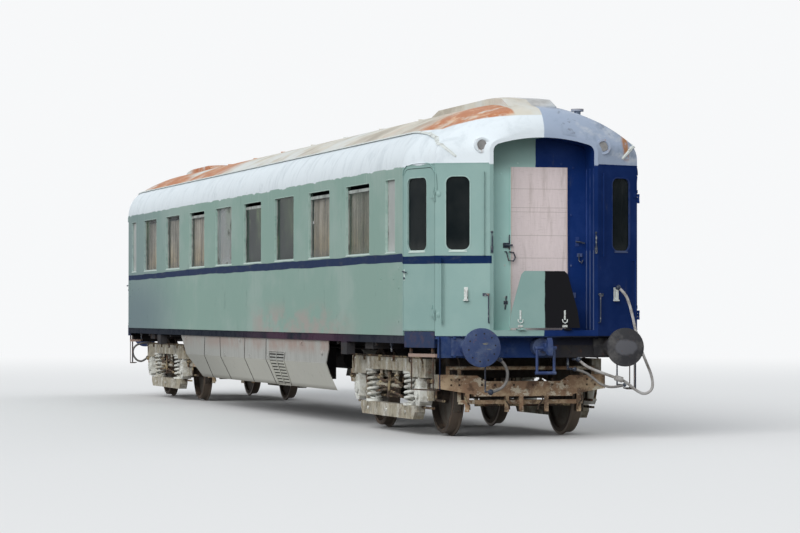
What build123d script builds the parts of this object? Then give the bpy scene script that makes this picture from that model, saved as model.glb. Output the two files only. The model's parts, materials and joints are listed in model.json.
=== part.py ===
from build123d import *
import math
import os

# Passenger coach with rounded portal ends, on two four-wheel bogies.
# Millimetres, +X towards the two-tone end, +Z up, origin on the floor under the wheel
# flanges at the middle of the coach.  Heights that are read above the rail are added to FLANGE.

# Wheels and rail
FLANGE = 30                  # the rail top stands this far above the flange bottoms
WHEEL_R = 500                # tread radius
TREAD_W = 105                # tread outside the flange
FLANGE_T = 32                # flange thickness
BACK_Y = 680                 # flange back, from the centre line
RIM_T = 55                   # tyre and rim depth
WEB_T = 26                   # wheel disc
HUB_R = 125
HUB_W = 180
AXLE_R = 80
JOURNAL_R = 60
JOURNAL_END = 1125           # axle end, from the centre line
WHEELBASE = 2900
BOGIE_X = 7450               # bogie pivots from the middle

# Body shell
HALF_W = 1435
SIDE_X = 9375                # side panel end, where the door facet starts
CORNER_X, CORNER_Y = 10130, HALF_W - 185
PORTAL_X, PORTAL_Y = 10400, 665
SILL_BOTTOM = FLANGE + 1095
BODY_BOTTOM = FLANGE + 1190
EAVE = FLANGE + 3205
CROWN = FLANGE + 3990
WALL_T = 70
ROOF_T = 60
DOME_START = 9100            # the crown starts to fall here
PORTAL_CROWN = FLANGE + 3560 # dome edge over the portal
NOSE_R = 330                 # dome's front rounding, seen from the side
SHOULDER_R = 500             # roof shoulder
NOSE_SHOULDER_R = 140        # the same at the portal edge
EAVE_LIFT = 4                # upright strip between eave and shoulder
NOSE_LIFT = 140              # the same at the portal edge
ROOF_SEAMS_Y = (500, 1000)   # seams along the roof
SEAM = 0.4

# Portal and end wall
LIP = 45                     # rim round the portal opening
REVEAL = 330                 # portal plane back to the end bulkhead's inner face
BULKHEAD_T = 40
DOORWAY_Y0, DOORWAY_Y1 = -297, 380
DOORWAY_TOP = FLANGE + 3180
CORNER_PANEL_T = 55

# Windows: centre pitch, width, bottom, top
WIN_PITCH = 2060
WIN_N = 8
WIN_W = 1200
WIN_Z0, WIN_Z1 = FLANGE + 2190, FLANGE + 3080
WIN_R = 40
SMALL_WIN_X, SMALL_WIN_W = 8800, 460
OUTER_T = 30                 # wall outside the sash pocket
POCKET_SIDE = 25
POCKET_DROP = 115
SASH_T = 24
SASH_BAR = 40
SASH_LAP = 22                # sash hidden behind the wall's edge
SASH_DROP = 80               # a sash that stands a little open
GLASS_T = 6
OPEN_RIGHT = (2, 4, 6, 7)    # sashes let down on the right side, counted from the rear
OPEN_LEFT = (1, 5)

# Side doors on the tapered facets
DOOR_GAP = 8
JAMB = 6
DOOR_T = 45
DOOR_Z0, DOOR_Z1 = FLANGE + 1246, FLANGE + 3160
DOOR_TOP_R = 130
DOOR_WIN_S0, DOOR_WIN_S1 = 102, 590
DOOR_WIN_Z0, DOOR_WIN_Z1 = FLANGE + 2185, FLANGE + 3065
DOOR_WIN_R = 90
REBATE_GAP = 7
REBATE_T = 50
REBATE_LAP = 25
HINGE_Z = (FLANGE + 1435, FLANGE + 2820)
HINGE_OUT = 16               # pin centre in front of the facet
PIN_R = 7
PIN_CLEAR = 0.05
KNUCKLE_R = 13
KNUCKLE_H = 36
PIN_H = 110
CORNER_WIN_S0, CORNER_WIN_S1 = 116, 420
CORNER_WIN_R = 90

# Floor and underframe
FLOOR_T = 60
DECK_T = 40
DOOR_SILL_OUT = 8            # door sill box in front of the facet
APRON_T = 14                 # deck plate that overhangs the headstock
SOLE_IN = 10                 # solebar behind the side panel
SOLE_W = 80
HEAD_X = 10180               # headstock face
HEAD_T = 80
HEAD_Y = HALF_W - 220
HEAD_Z0 = FLANGE + 934
SILL_Y = 350
SILL_W = 120
SILL_Z0 = FLANGE + 950
CROSS_W = 100
CROSS_Z0 = FLANGE + 1055     # nothing of the deck's frame is lower, so the wheels run clear
CROSS_PITCH = WIN_PITCH / 1.06
BOLSTER_HALF = 200
BOLSTER_PLATE_Z0 = FLANGE + 1010
JACK_X, JACK_L = 6450, 300
JACK_Y0, JACK_Y1 = HALF_W - 125, HALF_W - 15
JACK_Z0 = FLANGE + 930
PIVOT_R = 50
PIVOT_TOP = FLANGE + 1045
PIVOT_CLEAR = 0.05
CENTRE_PLATE_R = 220
CENTRE_PLATE_Z = FLANGE + 935
CENTRE_GAP = 1

# Buffers and draw gear
BUFFER_Y = 875
BUFFER_Z = FLANGE + 1060
BUFFER_FACE = 10800
BUFFER_HEAD_R = 225
BUFFER_HEAD_T = 38
BUFFER_DOME = 22
PLUNGER_R = 78
CASING_R = 105
CASING_L = 360
BUFFER_PLATE = 400
BUFFER_PLATE_T = 30

# Interior
PARTITION_T = 40
PARTITION_X = (8250, 9230)
PASSAGE_W = 700
PASSAGE_H = 1950
TOILET_Y = 450
SEAT_W = 980
SEAT_D = 480
SEAT_H = 440
SEAT_BACK_T = 90
SEAT_BACK_H = 1150
SEAT_GAP = 12
SEAT_WALL_GAP = 10
CURTAIN_T = 30
CURTAIN_GAP = 0.3
CURTAIN_DROP = 120
CURTAIN_RISE = 40
CURTAIN_SHARE = 0.42         # of the window's width, each of the two


def box(x0, x1, y0, y1, z0, z1):
    """Box between two values on each axis."""
    return Pos((x0 + x1) / 2, (y0 + y1) / 2, (z0 + z1) / 2) * Box(abs(x1 - x0), abs(y1 - y0), abs(z1 - z0))


def bar(axis, radius, start, length):
    """Round bar from a start point along X, Y or Z."""
    turn = {"X": Rot(0, 90, 0), "Y": Rot(-90, 0, 0), "Z": Rot(0, 0, 0)}[axis]
    solid = Cylinder(radius, length, align=(Align.CENTER, Align.CENTER, Align.MIN))
    return Pos(*start) * turn * solid


def prism(points, direction):
    """Planar polygon through 3-D points, extruded along a vector."""
    return Solid.extrude(Face(Wire.make_polygon([Vector(*p) for p in points])), Vector(*direction))


def plan(points, z0, z1):
    """Plan outline between two heights."""
    return prism([(x, y, z0) for x, y in points], (0, 0, z1 - z0))


def side(points, y0, y1):
    """Outline in side view, between two values of y."""
    return prism([(x, y0, z) for x, z in points], (0, y1 - y0, 0))


def cross(points, x0, x1):
    """Outline in end view, between two values of x."""
    return prism([(x0, y, z) for y, z in points], (x1 - x0, 0, 0))


def both_sides(solids):
    """The solids and their mirror images across the centre line."""
    return list(solids) + [s.mirror(Plane.XZ) for s in solids]


def both_ends(solids):
    """The solids and their mirror images across the middle of the coach."""
    return list(solids) + [s.mirror(Plane.YZ) for s in solids]


def merge(solids):
    """One solid out of pieces that meet."""
    first, *rest = solids
    out = first
    for s in rest:
        out = out + s
    return out


def save(name, solids):
    """Write one node."""
    flat = []
    for s in solids if isinstance(solids, (list, tuple)) else [solids]:
        flat += s.solids()
    export_step(Compound(children=flat) if len(flat) > 1 else flat[0], f"parts/{name}.step")
    return flat


os.makedirs("parts", exist_ok=True)


# Roof: each cross section is two shoulder arcs and a crown arc over a flat base
def two_arc(a, b, r):
    """Radius of the large arc that runs tangentially from a small arc of radius r to the crown,
    for a half width a and a rise b."""
    return (a * a + b * b - 2 * a * r) / (2 * (b - r))


def crown_section(x, half, top, lift, r):
    """Wire of one roof section at x: upright for the lift, a shoulder arc and the crown arc."""
    spring = EAVE + lift
    big = two_arc(half, top - spring, r)
    cy = half - r
    angle = math.atan2(spring - (top - big), cy)

    def shoulder(t):
        return cy + r * math.cos(t), spring + r * math.sin(t)
    my, mz = shoulder(angle / 2)
    jy, jz = shoulder(angle)
    edges = [
        Edge.make_line((x, half, EAVE), (x, half, spring)),
        Edge.make_three_point_arc((x, half, spring), (x, my, mz), (x, jy, jz)),
        Edge.make_three_point_arc((x, jy, jz), (x, 0, top), (x, -jy, jz)),
        Edge.make_three_point_arc((x, -jy, jz), (x, -my, mz), (x, -half, spring)),
        Edge.make_line((x, -half, spring), (x, -half, EAVE)),
        Edge.make_line((x, -half, EAVE), (x, half, EAVE)),
    ]
    return Wire(edges)


def outline_half(x, inset=0):
    """Half width of the plan outline at x."""
    if x <= SIDE_X:
        return HALF_W - inset
    if x <= CORNER_X:
        return HALF_W + (CORNER_Y - HALF_W) * (x - SIDE_X) / (CORNER_X - SIDE_X) - inset
    return CORNER_Y + (PORTAL_Y - CORNER_Y) * (x - CORNER_X) / (PORTAL_X - CORNER_X) - inset


def crown_height(x):
    """Height of the dome's centre line: a small nose arc and a large arc, tangential."""
    a, b = PORTAL_X - DOME_START, CROWN - PORTAL_CROWN
    if x <= DOME_START:
        return CROWN
    big = two_arc(a, b, NOSE_R)
    cx = a - NOSE_R
    angle = math.atan2(big - b, cx)
    u = x - DOME_START
    if u <= cx + NOSE_R * math.cos(angle):
        return CROWN - big + math.sqrt(big * big - u * u)
    return PORTAL_CROWN + math.sqrt(max(NOSE_R * NOSE_R - (u - cx) ** 2, 0))


def dome_share(x):
    """How far x lies along the dome, from 0 at its start to 1 at the portal."""
    return max(0.0, (x - DOME_START) / (PORTAL_X - DOME_START))


def shoulder_radius(x):
    """Shoulder radius, smaller towards the portal."""
    return SHOULDER_R + (NOSE_SHOULDER_R - SHOULDER_R) * dome_share(x) ** 2


def eave_lift(x):
    """Height of the upright strip, which grows towards the portal."""
    return EAVE_LIFT + (NOSE_LIFT - EAVE_LIFT) * dome_share(x) ** 3


dome_x = [DOME_START, SIDE_X, 9700, 9950, CORNER_X, 10240, 10330, 10375, PORTAL_X]


def roof_section(x, way, inset):
    """Section of the roof body, moved in by inset, at x on the front or rear half."""
    half, top, lift = outline_half(x, inset), crown_height(x) - inset, eave_lift(x)
    r = min(shoulder_radius(x) - inset / 2, 0.92 * (top - EAVE - lift), 0.9 * half)
    return crown_section(way * x, half, top, lift, r)


def roof_solid(inset, last):
    """Closed roof body, its faces moved in by inset, ending at plan position last."""
    xs = [x for x in dome_x if x < last] + [last]
    rear = [roof_section(x, -1, inset) for x in reversed(xs)]
    front = [roof_section(x, 1, inset) for x in xs]
    return Solid.make_loft(rear + front, ruled=True)


def crown_z(x, y):
    """Height of the outer roof over a point near the middle."""
    top = crown_height(x)
    big = two_arc(outline_half(x), top - EAVE - eave_lift(x), shoulder_radius(x))
    return top - big + math.sqrt(big * big - y * y)


def portal_block(x0, x1, grow):
    """Solid in the outline of the portal opening, grown by a margin, down to the deck."""
    half, top = PORTAL_Y - LIP + grow, PORTAL_CROWN - LIP + grow
    arch = crown_section(x0, half, top, NOSE_LIFT, NOSE_SHOULDER_R - LIP + grow)
    upper = Solid.extrude(Face(arch), Vector(x1 - x0, 0, 0))
    return upper + box(x0, x1, -half, half, BODY_BOTTOM, EAVE)


bulkhead_x = PORTAL_X - REVEAL
surround = portal_block(bulkhead_x - BULKHEAD_T, PORTAL_X, LIP)
opening = portal_block(bulkhead_x, PORTAL_X + LIP, 0)
doorway = box(bulkhead_x - 2 * BULKHEAD_T, PORTAL_X, DOORWAY_Y0, DOORWAY_Y1, BODY_BOTTOM + FLOOR_T, DOORWAY_TOP)
portal = surround - opening - doorway

roof = roof_solid(0, PORTAL_X) - roof_solid(ROOF_T, PORTAL_X - ROOF_T)
roof = roof - surround - surround.mirror(Plane.YZ)
outer_roof = roof_solid(0, PORTAL_X)


def panels(shell):
    """The roof cut along its seams into crown, haunch and shoulder panels, domes apart."""
    limit = 2 * PORTAL_X
    across = [-limit, -ROOF_SEAMS_Y[1], -ROOF_SEAMS_Y[0], ROOF_SEAMS_Y[0], ROOF_SEAMS_Y[1], limit]
    along = [-limit, -DOME_START, DOME_START, limit]
    out = []
    for y0, y1 in zip(across, across[1:]):
        for x0, x1 in zip(along, along[1:]):
            cell = box(x0 + SEAM / 2, x1 - SEAM / 2, y0 + SEAM / 2, y1 - SEAM / 2, 0, 2 * CROWN)
            out += (shell & cell).solids()
    return out


roof_pieces = panels(roof)

# Facets at the front right corner: distance along, height, distance out
door_u = Vector(CORNER_X - SIDE_X, HALF_W - CORNER_Y, 0).normalized()
corner_u = Vector(PORTAL_X - CORNER_X, CORNER_Y - PORTAL_Y, 0).normalized()
DOOR_LEN = math.hypot(CORNER_X - SIDE_X, HALF_W - CORNER_Y)
door_plane = Plane(origin=(SIDE_X, -HALF_W, 0), x_dir=door_u, z_dir=door_u.cross(Vector(0, 0, 1)))
corner_plane = Plane(origin=(CORNER_X, -CORNER_Y, 0), x_dir=corner_u, z_dir=corner_u.cross(Vector(0, 0, 1)))


def on(plane, s0, s1, z0, z1, n0, n1):
    """Box on a facet: along it, in height, outwards."""
    return plane * box(s0, s1, z0, z1, n0, n1)


def rounded(plane, s0, s1, z0, z1, n0, n1, r):
    """Rounded rectangle on a facet."""
    face = RectangleRounded(s1 - s0, z1 - z0, r)
    return plane * (Pos((s0 + s1) / 2, (z0 + z1) / 2, n0) * extrude(face, amount=n1 - n0))


def arched(plane, s0, s1, z0, z1, n0, n1, r):
    """Rectangle with its two top corners rounded."""
    solid = box(s0, s1, z0, z1, n0, n1)
    edges = solid.edges().filter_by(Axis.Z).group_by(Axis.Y)[-1]
    return plane * fillet(edges, r)


# Side walls with window openings and the pockets that the sashes slide in
def windows(side_open):
    """Table of openings: centre, width, drop of the sash."""
    rows = [((k - (WIN_N - 1) / 2) * WIN_PITCH, WIN_W, SASH_DROP if k in side_open else 0) for k in range(WIN_N)]
    return rows + [(-SMALL_WIN_X, SMALL_WIN_W, 0), (SMALL_WIN_X, SMALL_WIN_W, 0)]


right_plane = Plane(origin=(0, -HALF_W, 0), x_dir=(1, 0, 0), z_dir=(0, -1, 0))


def side_wall(table):
    wall = on(right_plane, -SIDE_X, SIDE_X, BODY_BOTTOM, EAVE, -WALL_T, 0)
    cuts = []
    for x, w, drop in table:
        cuts.append(rounded(right_plane, x - w / 2, x + w / 2, WIN_Z0, WIN_Z1, -WALL_T - 1, 1, WIN_R))
        cuts.append(on(right_plane, x - w / 2 - POCKET_SIDE, x + w / 2 + POCKET_SIDE,
                       WIN_Z0 - POCKET_DROP, WIN_Z1 + POCKET_SIDE, -WALL_T - 1, -OUTER_T))
    return wall - cuts


def sashes(table):
    """Frames and panes of one side."""
    frames, panes = [], []
    for x, w, drop in table:
        s0, s1 = x - w / 2 - SASH_LAP, x + w / 2 + SASH_LAP
        z0, z1 = WIN_Z0 - SASH_LAP - drop, WIN_Z1 + SASH_LAP - drop
        ring = on(right_plane, s0, s1, z0, z1, -OUTER_T - SASH_T, -OUTER_T)
        hole = (s0 + SASH_BAR, s1 - SASH_BAR, z0 + SASH_BAR, z1 - SASH_BAR)
        frames.append(ring - on(right_plane, *hole, -WALL_T, 0))
        mid = -OUTER_T - SASH_T / 2
        panes.append(on(right_plane, *hole, mid - GLASS_T / 2, mid + GLASS_T / 2))
    return frames, panes


table_right, table_left = windows(OPEN_RIGHT), windows(OPEN_LEFT)
wall_right = side_wall(table_right)
wall_left = side_wall(table_left).mirror(Plane.XZ)
frames_right, panes_right = sashes(table_right)
frames_left, panes_left = sashes(table_left)
frames_left = [s.mirror(Plane.XZ) for s in frames_left]
panes_left = [s.mirror(Plane.XZ) for s in panes_left]

# End wall: corner panels and the portal with its bulkhead, in one pressing
door_n, corner_n = door_u.cross(Vector(0, 0, 1)), corner_u.cross(Vector(0, 0, 1))
post_depth = CORNER_PANEL_T / door_n.dot(corner_n)
corner_hole = rounded(corner_plane, CORNER_WIN_S0, CORNER_WIN_S1, DOOR_WIN_Z0, DOOR_WIN_Z1,
                      -4 * CORNER_PANEL_T, CORNER_PANEL_T, CORNER_WIN_R)
panel = plan([(CORNER_X, -CORNER_Y), (PORTAL_X, -PORTAL_Y), (PORTAL_X - CORNER_PANEL_T, -PORTAL_Y),
              (CORNER_X - post_depth * door_n.X, -CORNER_Y - post_depth * door_n.Y)], BODY_BOTTOM, EAVE)
panel = panel - corner_hole
end_wall = merge([portal, panel, panel.mirror(Plane.XZ)])
pane = rounded(corner_plane, CORNER_WIN_S0, CORNER_WIN_S1, DOOR_WIN_Z0, DOOR_WIN_Z1,
               -CORNER_PANEL_T / 3 - GLASS_T, -CORNER_PANEL_T / 3, CORNER_WIN_R)
end_panes = both_ends(both_sides([pane]))

# Door frames, leaves and hinges
leaf_s0, leaf_s1 = JAMB + DOOR_GAP, DOOR_LEN - JAMB - DOOR_GAP
front_ring = on(door_plane, 0, DOOR_LEN, BODY_BOTTOM, EAVE, -DOOR_T - REBATE_GAP, 0) \
    - arched(door_plane, JAMB, DOOR_LEN - JAMB, BODY_BOTTOM - 1, DOOR_Z1 + DOOR_GAP,
             -2 * DOOR_T, DOOR_T, DOOR_TOP_R + DOOR_GAP)
back_ring = on(door_plane, 0, DOOR_LEN, BODY_BOTTOM, EAVE,
               -DOOR_T - REBATE_GAP - REBATE_T, -DOOR_T - REBATE_GAP) \
    - arched(door_plane, WALL_T + REBATE_LAP, DOOR_LEN - CORNER_PANEL_T - REBATE_LAP, BODY_BOTTOM - 1,
             DOOR_Z1 - REBATE_LAP, -4 * DOOR_T, 0, DOOR_TOP_R)
door_frame = front_ring + back_ring
wall_end = box(SIDE_X - 2 * WALL_T, SIDE_X, -HALF_W, -HALF_W + WALL_T, BODY_BOTTOM, EAVE)
door_frame = door_frame - panel - wall_end
door_hole = rounded(door_plane, DOOR_WIN_S0, DOOR_WIN_S1, DOOR_WIN_Z0, DOOR_WIN_Z1, -2 * DOOR_T, DOOR_T, DOOR_WIN_R)
pin_s = DOOR_LEN - JAMB / 2
leaf = arched(door_plane, leaf_s0, leaf_s1, DOOR_Z0, DOOR_Z1, -DOOR_T, 0, DOOR_TOP_R) - door_hole
hinge_pins = []
for z in HINGE_Z:
    knuckle = door_plane * (Pos(pin_s, z - KNUCKLE_H / 2, HINGE_OUT) * Rot(-90, 0, 0)
                            * Cylinder(KNUCKLE_R, KNUCKLE_H, align=(Align.CENTER, Align.CENTER, Align.MIN)))
    arm = on(door_plane, leaf_s1 - 4 * KNUCKLE_R, leaf_s1 - 2, z - KNUCKLE_H / 2, z + KNUCKLE_H / 2, 0, 2 * KNUCKLE_R)
    link = on(door_plane, leaf_s1 - 4 * KNUCKLE_R, pin_s, z - KNUCKLE_H / 2, z + KNUCKLE_H / 2,
              HINGE_OUT - KNUCKLE_R / 2, HINGE_OUT + KNUCKLE_R / 2)
    bore = door_plane * (Pos(pin_s, z - PIN_H, HINGE_OUT) * Rot(-90, 0, 0)
                         * Cylinder(PIN_R + PIN_CLEAR, 2 * PIN_H, align=(Align.CENTER, Align.CENTER, Align.MIN)))
    leaf = merge([leaf, arm, link, knuckle]) - bore
    pin = door_plane * (Pos(pin_s, z - PIN_H / 2, HINGE_OUT) * Rot(-90, 0, 0)
                        * Cylinder(PIN_R, PIN_H, align=(Align.CENTER, Align.CENTER, Align.MIN)))
    lugs = [on(door_plane, pin_s - JAMB / 2, pin_s + KNUCKLE_R, z + k * (KNUCKLE_H / 2 + 2), z + k * PIN_H / 2,
               0, HINGE_OUT + KNUCKLE_R) for k in (-1, 1)]
    hinge_pins.append(merge([pin] + lugs))
door_pane = rounded(door_plane, DOOR_WIN_S0, DOOR_WIN_S1, DOOR_WIN_Z0, DOOR_WIN_Z1,
                    -DOOR_T / 2 - GLASS_T / 2, -DOOR_T / 2 + GLASS_T / 2, DOOR_WIN_R)
pin_place = door_plane * Pos(pin_s, 0, HINGE_OUT)
print("door pin", [round(v, 2) for v in tuple(pin_place.position)])

# Floor and underframe
def outline(inset):
    """Plan outline of the body, moved in by inset."""
    quarter = [(SIDE_X, HALF_W - inset), (CORNER_X - inset / 2, CORNER_Y - inset),
               (PORTAL_X - inset, PORTAL_Y - inset)]
    front = quarter + [(x, -y) for x, y in reversed(quarter)]
    return front + [(-x, -y) for x, y in front]


deck = plan(outline(SOLE_IN), BODY_BOTTOM - DECK_T, BODY_BOTTOM)
deck = deck - both_ends([box(HEAD_X, PORTAL_X + LIP, -HALF_W, HALF_W, SILL_BOTTOM, BODY_BOTTOM - APRON_T)])
floor = plan(outline(WALL_T + DOOR_T), BODY_BOTTOM, BODY_BOTTOM + FLOOR_T) \
    - both_ends([surround]) - both_ends(both_sides([door_frame]))
sole = box(-SIDE_X, SIDE_X, -HALF_W + SOLE_IN, -HALF_W + SOLE_IN + SOLE_W, SILL_BOTTOM, BODY_BOTTOM - DECK_T)
door_sole = on(door_plane, 0, DOOR_LEN - SOLE_W / 2, SILL_BOTTOM, BODY_BOTTOM - DECK_T, -SOLE_W - SOLE_IN, -SOLE_IN)
headstock = box(HEAD_X - HEAD_T, HEAD_X, -HEAD_Y, HEAD_Y, HEAD_Z0, BODY_BOTTOM - DECK_T)
upper_sill = box(-HEAD_X + HEAD_T, HEAD_X - HEAD_T, -SILL_Y - SILL_W / 2, -SILL_Y + SILL_W / 2,
                 CROSS_Z0, BODY_BOTTOM - DECK_T)
cross_end = HALF_W - SOLE_IN - SOLE_W
crosses = [box(x - CROSS_W / 2, x + CROSS_W / 2, -cross_end, cross_end, CROSS_Z0, BODY_BOTTOM - DECK_T)
           for x in [(k - WIN_N / 2) * CROSS_PITCH for k in range(WIN_N + 1)]]
bolster_tops = [box(x - BOLSTER_HALF, x + BOLSTER_HALF, -cross_end, cross_end, CROSS_Z0, BODY_BOTTOM - DECK_T)
                for x in (-BOGIE_X, BOGIE_X)]
underframe = merge([deck] + both_sides([sole, upper_sill]) + both_ends(both_sides([door_sole]))
                   + crosses + bolster_tops)
bolsters = []
for x in (-BOGIE_X, BOGIE_X):
    plate = box(x - BOLSTER_HALF, x + BOLSTER_HALF, -cross_end, cross_end, BOLSTER_PLATE_Z0, CROSS_Z0)
    disc = bar("Z", CENTRE_PLATE_R, (x, 0, CENTRE_PLATE_Z), BOLSTER_PLATE_Z0 - CENTRE_PLATE_Z)
    pivot_bore = bar("Z", PIVOT_R + PIVOT_CLEAR, (x, 0, CENTRE_PLATE_Z - 1), CROSS_Z0 - CENTRE_PLATE_Z + 2)
    bolsters.append(merge([plate, disc]) - pivot_bore)
sill_ends = [-HEAD_X + HEAD_T, -BOGIE_X - BOLSTER_HALF, -BOGIE_X + BOLSTER_HALF,
             BOGIE_X - BOLSTER_HALF, BOGIE_X + BOLSTER_HALF, HEAD_X - HEAD_T]
centre_sills = both_sides([box(x0, x1, -SILL_Y - SILL_W / 2, -SILL_Y + SILL_W / 2, SILL_Z0, CROSS_Z0)
                           for x0, x1 in zip(sill_ends[::2], sill_ends[1::2])])
jack_pad = box(JACK_X - JACK_L / 2, JACK_X + JACK_L / 2, -JACK_Y1, -JACK_Y0, JACK_Z0, SILL_BOTTOM)
headstocks = both_ends([headstock]) + both_ends(both_sides([jack_pad]))

# Buffers and draw gear
def buffer(y):
    """Casing with its plate, and the head turned in one profile with its plunger."""
    plate = box(HEAD_X, HEAD_X + BUFFER_PLATE_T, y - BUFFER_PLATE / 2, y + BUFFER_PLATE / 2,
                BUFFER_Z - CASING_R, BUFFER_Z + CASING_R)
    casing = merge([plate, bar("X", CASING_R, (HEAD_X + BUFFER_PLATE_T, y, BUFFER_Z), CASING_L)])
    hole_from = HEAD_X + BUFFER_PLATE_T + CASING_L / 3
    casing = casing - bar("X", PLUNGER_R + 1, (hole_from, y, BUFFER_Z), CASING_L)
    dome_r = (BUFFER_HEAD_R ** 2 + BUFFER_DOME ** 2) / (2 * BUFFER_DOME)
    rim, back, face = BUFFER_FACE - BUFFER_DOME, BUFFER_FACE - BUFFER_DOME - BUFFER_HEAD_T, BUFFER_FACE
    bulge = BUFFER_FACE - dome_r + math.sqrt(dome_r ** 2 - (BUFFER_HEAD_R / 2) ** 2)
    v = lambda x, r: Vector(x, y + r, BUFFER_Z)
    profile = Wire([
        Edge.make_line(v(hole_from, 0), v(hole_from, PLUNGER_R)),
        Edge.make_line(v(hole_from, PLUNGER_R), v(back, PLUNGER_R)),
        Edge.make_line(v(back, PLUNGER_R), v(back, BUFFER_HEAD_R)),
        Edge.make_line(v(back, BUFFER_HEAD_R), v(rim, BUFFER_HEAD_R)),
        Edge.make_three_point_arc(v(rim, BUFFER_HEAD_R), v(bulge, BUFFER_HEAD_R / 2), v(face, 0)),
        Edge.make_line(v(face, 0), v(hole_from, 0))])
    return casing, revolve(Face(profile), Axis((0, y, BUFFER_Z), (1, 0, 0)), 360)


buffers = [buffer(y) for y in (-BUFFER_Y, BUFFER_Y)]
casings = both_ends([b[0] for b in buffers])
heads = both_ends([b[1] for b in buffers])

HOOK_BOSS_R, HOOK_BOSS_L = 105, 120
HOOK_T, HOOK_L = 60, 330
hook_shape = [(0, -45), (HOOK_L - 110, -45), (HOOK_L, -95), (HOOK_L + 20, -20), (HOOK_L, 75), (HOOK_L - 30, 110),
              (HOOK_L - 55, 60), (HOOK_L - 60, 10), (HOOK_L - 110, 10), (HOOK_L - 130, 45), (0, 45)]
boss = bar("X", HOOK_BOSS_R, (HEAD_X, 0, BUFFER_Z), HOOK_BOSS_L)
hook = side([(HEAD_X + HOOK_BOSS_L + u, BUFFER_Z + v) for u, v in hook_shape], -HOOK_T / 2, HOOK_T / 2)
draw_hook = merge([boss, hook])
PIN_BAR_R = 22
LINK_R = 17
LINK_Y, LINK_DROP = 105, 290
link_x, link_z = HEAD_X + HOOK_BOSS_L + 150, BUFFER_Z - 12
shackle_half, cross_half = LINK_Y + LINK_R + 9, LINK_Y + LINK_R + 5
shackle_pin = bar("Y", PIN_BAR_R, (link_x, -shackle_half, link_z), 2 * shackle_half)
links = [bar("Z", LINK_R, (link_x, y, link_z - LINK_DROP), LINK_DROP) for y in (-LINK_Y, LINK_Y)]
cross_bar = bar("Y", LINK_R + 3, (link_x, -cross_half, link_z - LINK_DROP), 2 * cross_half)
draw_gear = merge([draw_hook, shackle_pin] + links + [cross_bar])

# Skirts between the bogies: upper panel, knee and the panel that turns under
SKIRT_T = 12
SKIRT_TOP = SILL_BOTTOM
KNEE_Z, SKIRT_Z0 = FLANGE + 790, FLANGE + 430
SKIRT_Y, KNEE_Y, SKIRT_Y0 = HALF_W - 35, HALF_W - 50, HALF_W - 235
skirt_ends = [(-4600, SKIRT_TOP), (-3740, SKIRT_Z0), (5190, SKIRT_Z0), (5230, KNEE_Z - 150), (5340, KNEE_Z),
              (5500, KNEE_Z + 180), (5530, SKIRT_TOP)]
section = [(-SKIRT_Y, SKIRT_TOP), (-KNEE_Y, KNEE_Z), (-SKIRT_Y0, SKIRT_Z0), (-SKIRT_Y0 + SKIRT_T, SKIRT_Z0),
           (-KNEE_Y + SKIRT_T, KNEE_Z), (-SKIRT_Y + SKIRT_T, SKIRT_TOP)]
skirt = cross(section, skirt_ends[0][0], skirt_ends[-1][0]) & side(skirt_ends, -HALF_W, 0)
skirt = skirt.solids()[0]

# Marker lamps: a round stub out of the dome, with the glass in a shallow recess
LAMP_Y, LAMP_Z, LAMP_R = 745, FLANGE + 3418, 52
LAMP_X, LAMP_RING_R, LAMP_STUB = 10372, 90, 210
LAMP_RECESS_R, LAMP_RECESS = 66, 12
lamp_ring = bar("X", LAMP_RING_R, (LAMP_X - LAMP_STUB, -LAMP_Y, LAMP_Z), LAMP_STUB) \
    - bar("X", LAMP_RECESS_R, (LAMP_X - LAMP_RECESS, -LAMP_Y, LAMP_Z), LAMP_STUB)
lamp = bar("X", LAMP_R, (LAMP_X - 2 * LAMP_RECESS, -LAMP_Y, LAMP_Z), 2 * LAMP_RECESS - 3)
lamps = [merge([lamp_ring, lamp]) - outer_roof]

# Ventilators on the crown, a raised cover over each end, and strips that shed the rain
VENT_R, VENT_STEM_R, VENT_UP, VENT_CAP = 60, 28, 40, 30
END_VENT_R, END_VENT_STEM_R = 76, 40
END_VENT_X, END_VENT_Y = 9600, 680


def vent(x, y, top, cap_r, stem_r):
    """Stem and flat cap over a point of the roof."""
    stem = bar("Z", stem_r, (x, y, top - 100), 100 + VENT_UP)
    return merge([stem, bar("Z", cap_r, (x, y, top + VENT_UP - 5), VENT_CAP)])


COVER_Y, COVER_T, COVER_RAMP, COVER_END = 300, 80, 450, 9950
COVER_X_FRONT, COVER_X_REAR = 6650, 7450
cover_top = roof_solid(-COVER_T, PORTAL_X)


def end_cover(start):
    """Raised cover from a ramp at start to the dome, where it runs out."""
    base = EAVE + 100
    shape = [(start, base), (start, CROWN - 5), (start + COVER_RAMP, CROWN + 1.1 * COVER_T),
             (DOME_START, CROWN + 1.1 * COVER_T), (COVER_END - 250, crown_height(COVER_END - 250) + 0.7 * COVER_T),
             (COVER_END, crown_height(COVER_END) - 8), (COVER_END, base)]
    return (cover_top & side(shape, -COVER_Y, COVER_Y)) - outer_roof


covers = [end_cover(COVER_X_FRONT), end_cover(COVER_X_REAR).mirror(Plane.YZ)]
vents = [vent((k - (WIN_N - 1) / 2) * WIN_PITCH, 0, CROWN, VENT_R, VENT_STEM_R) - outer_roof
         for k in range(WIN_N - 1)]
end_vent_z = crown_z(END_VENT_X, END_VENT_Y)
vents.append(vent(END_VENT_X, END_VENT_Y, end_vent_z, END_VENT_R, END_VENT_STEM_R) - outer_roof)

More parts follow.
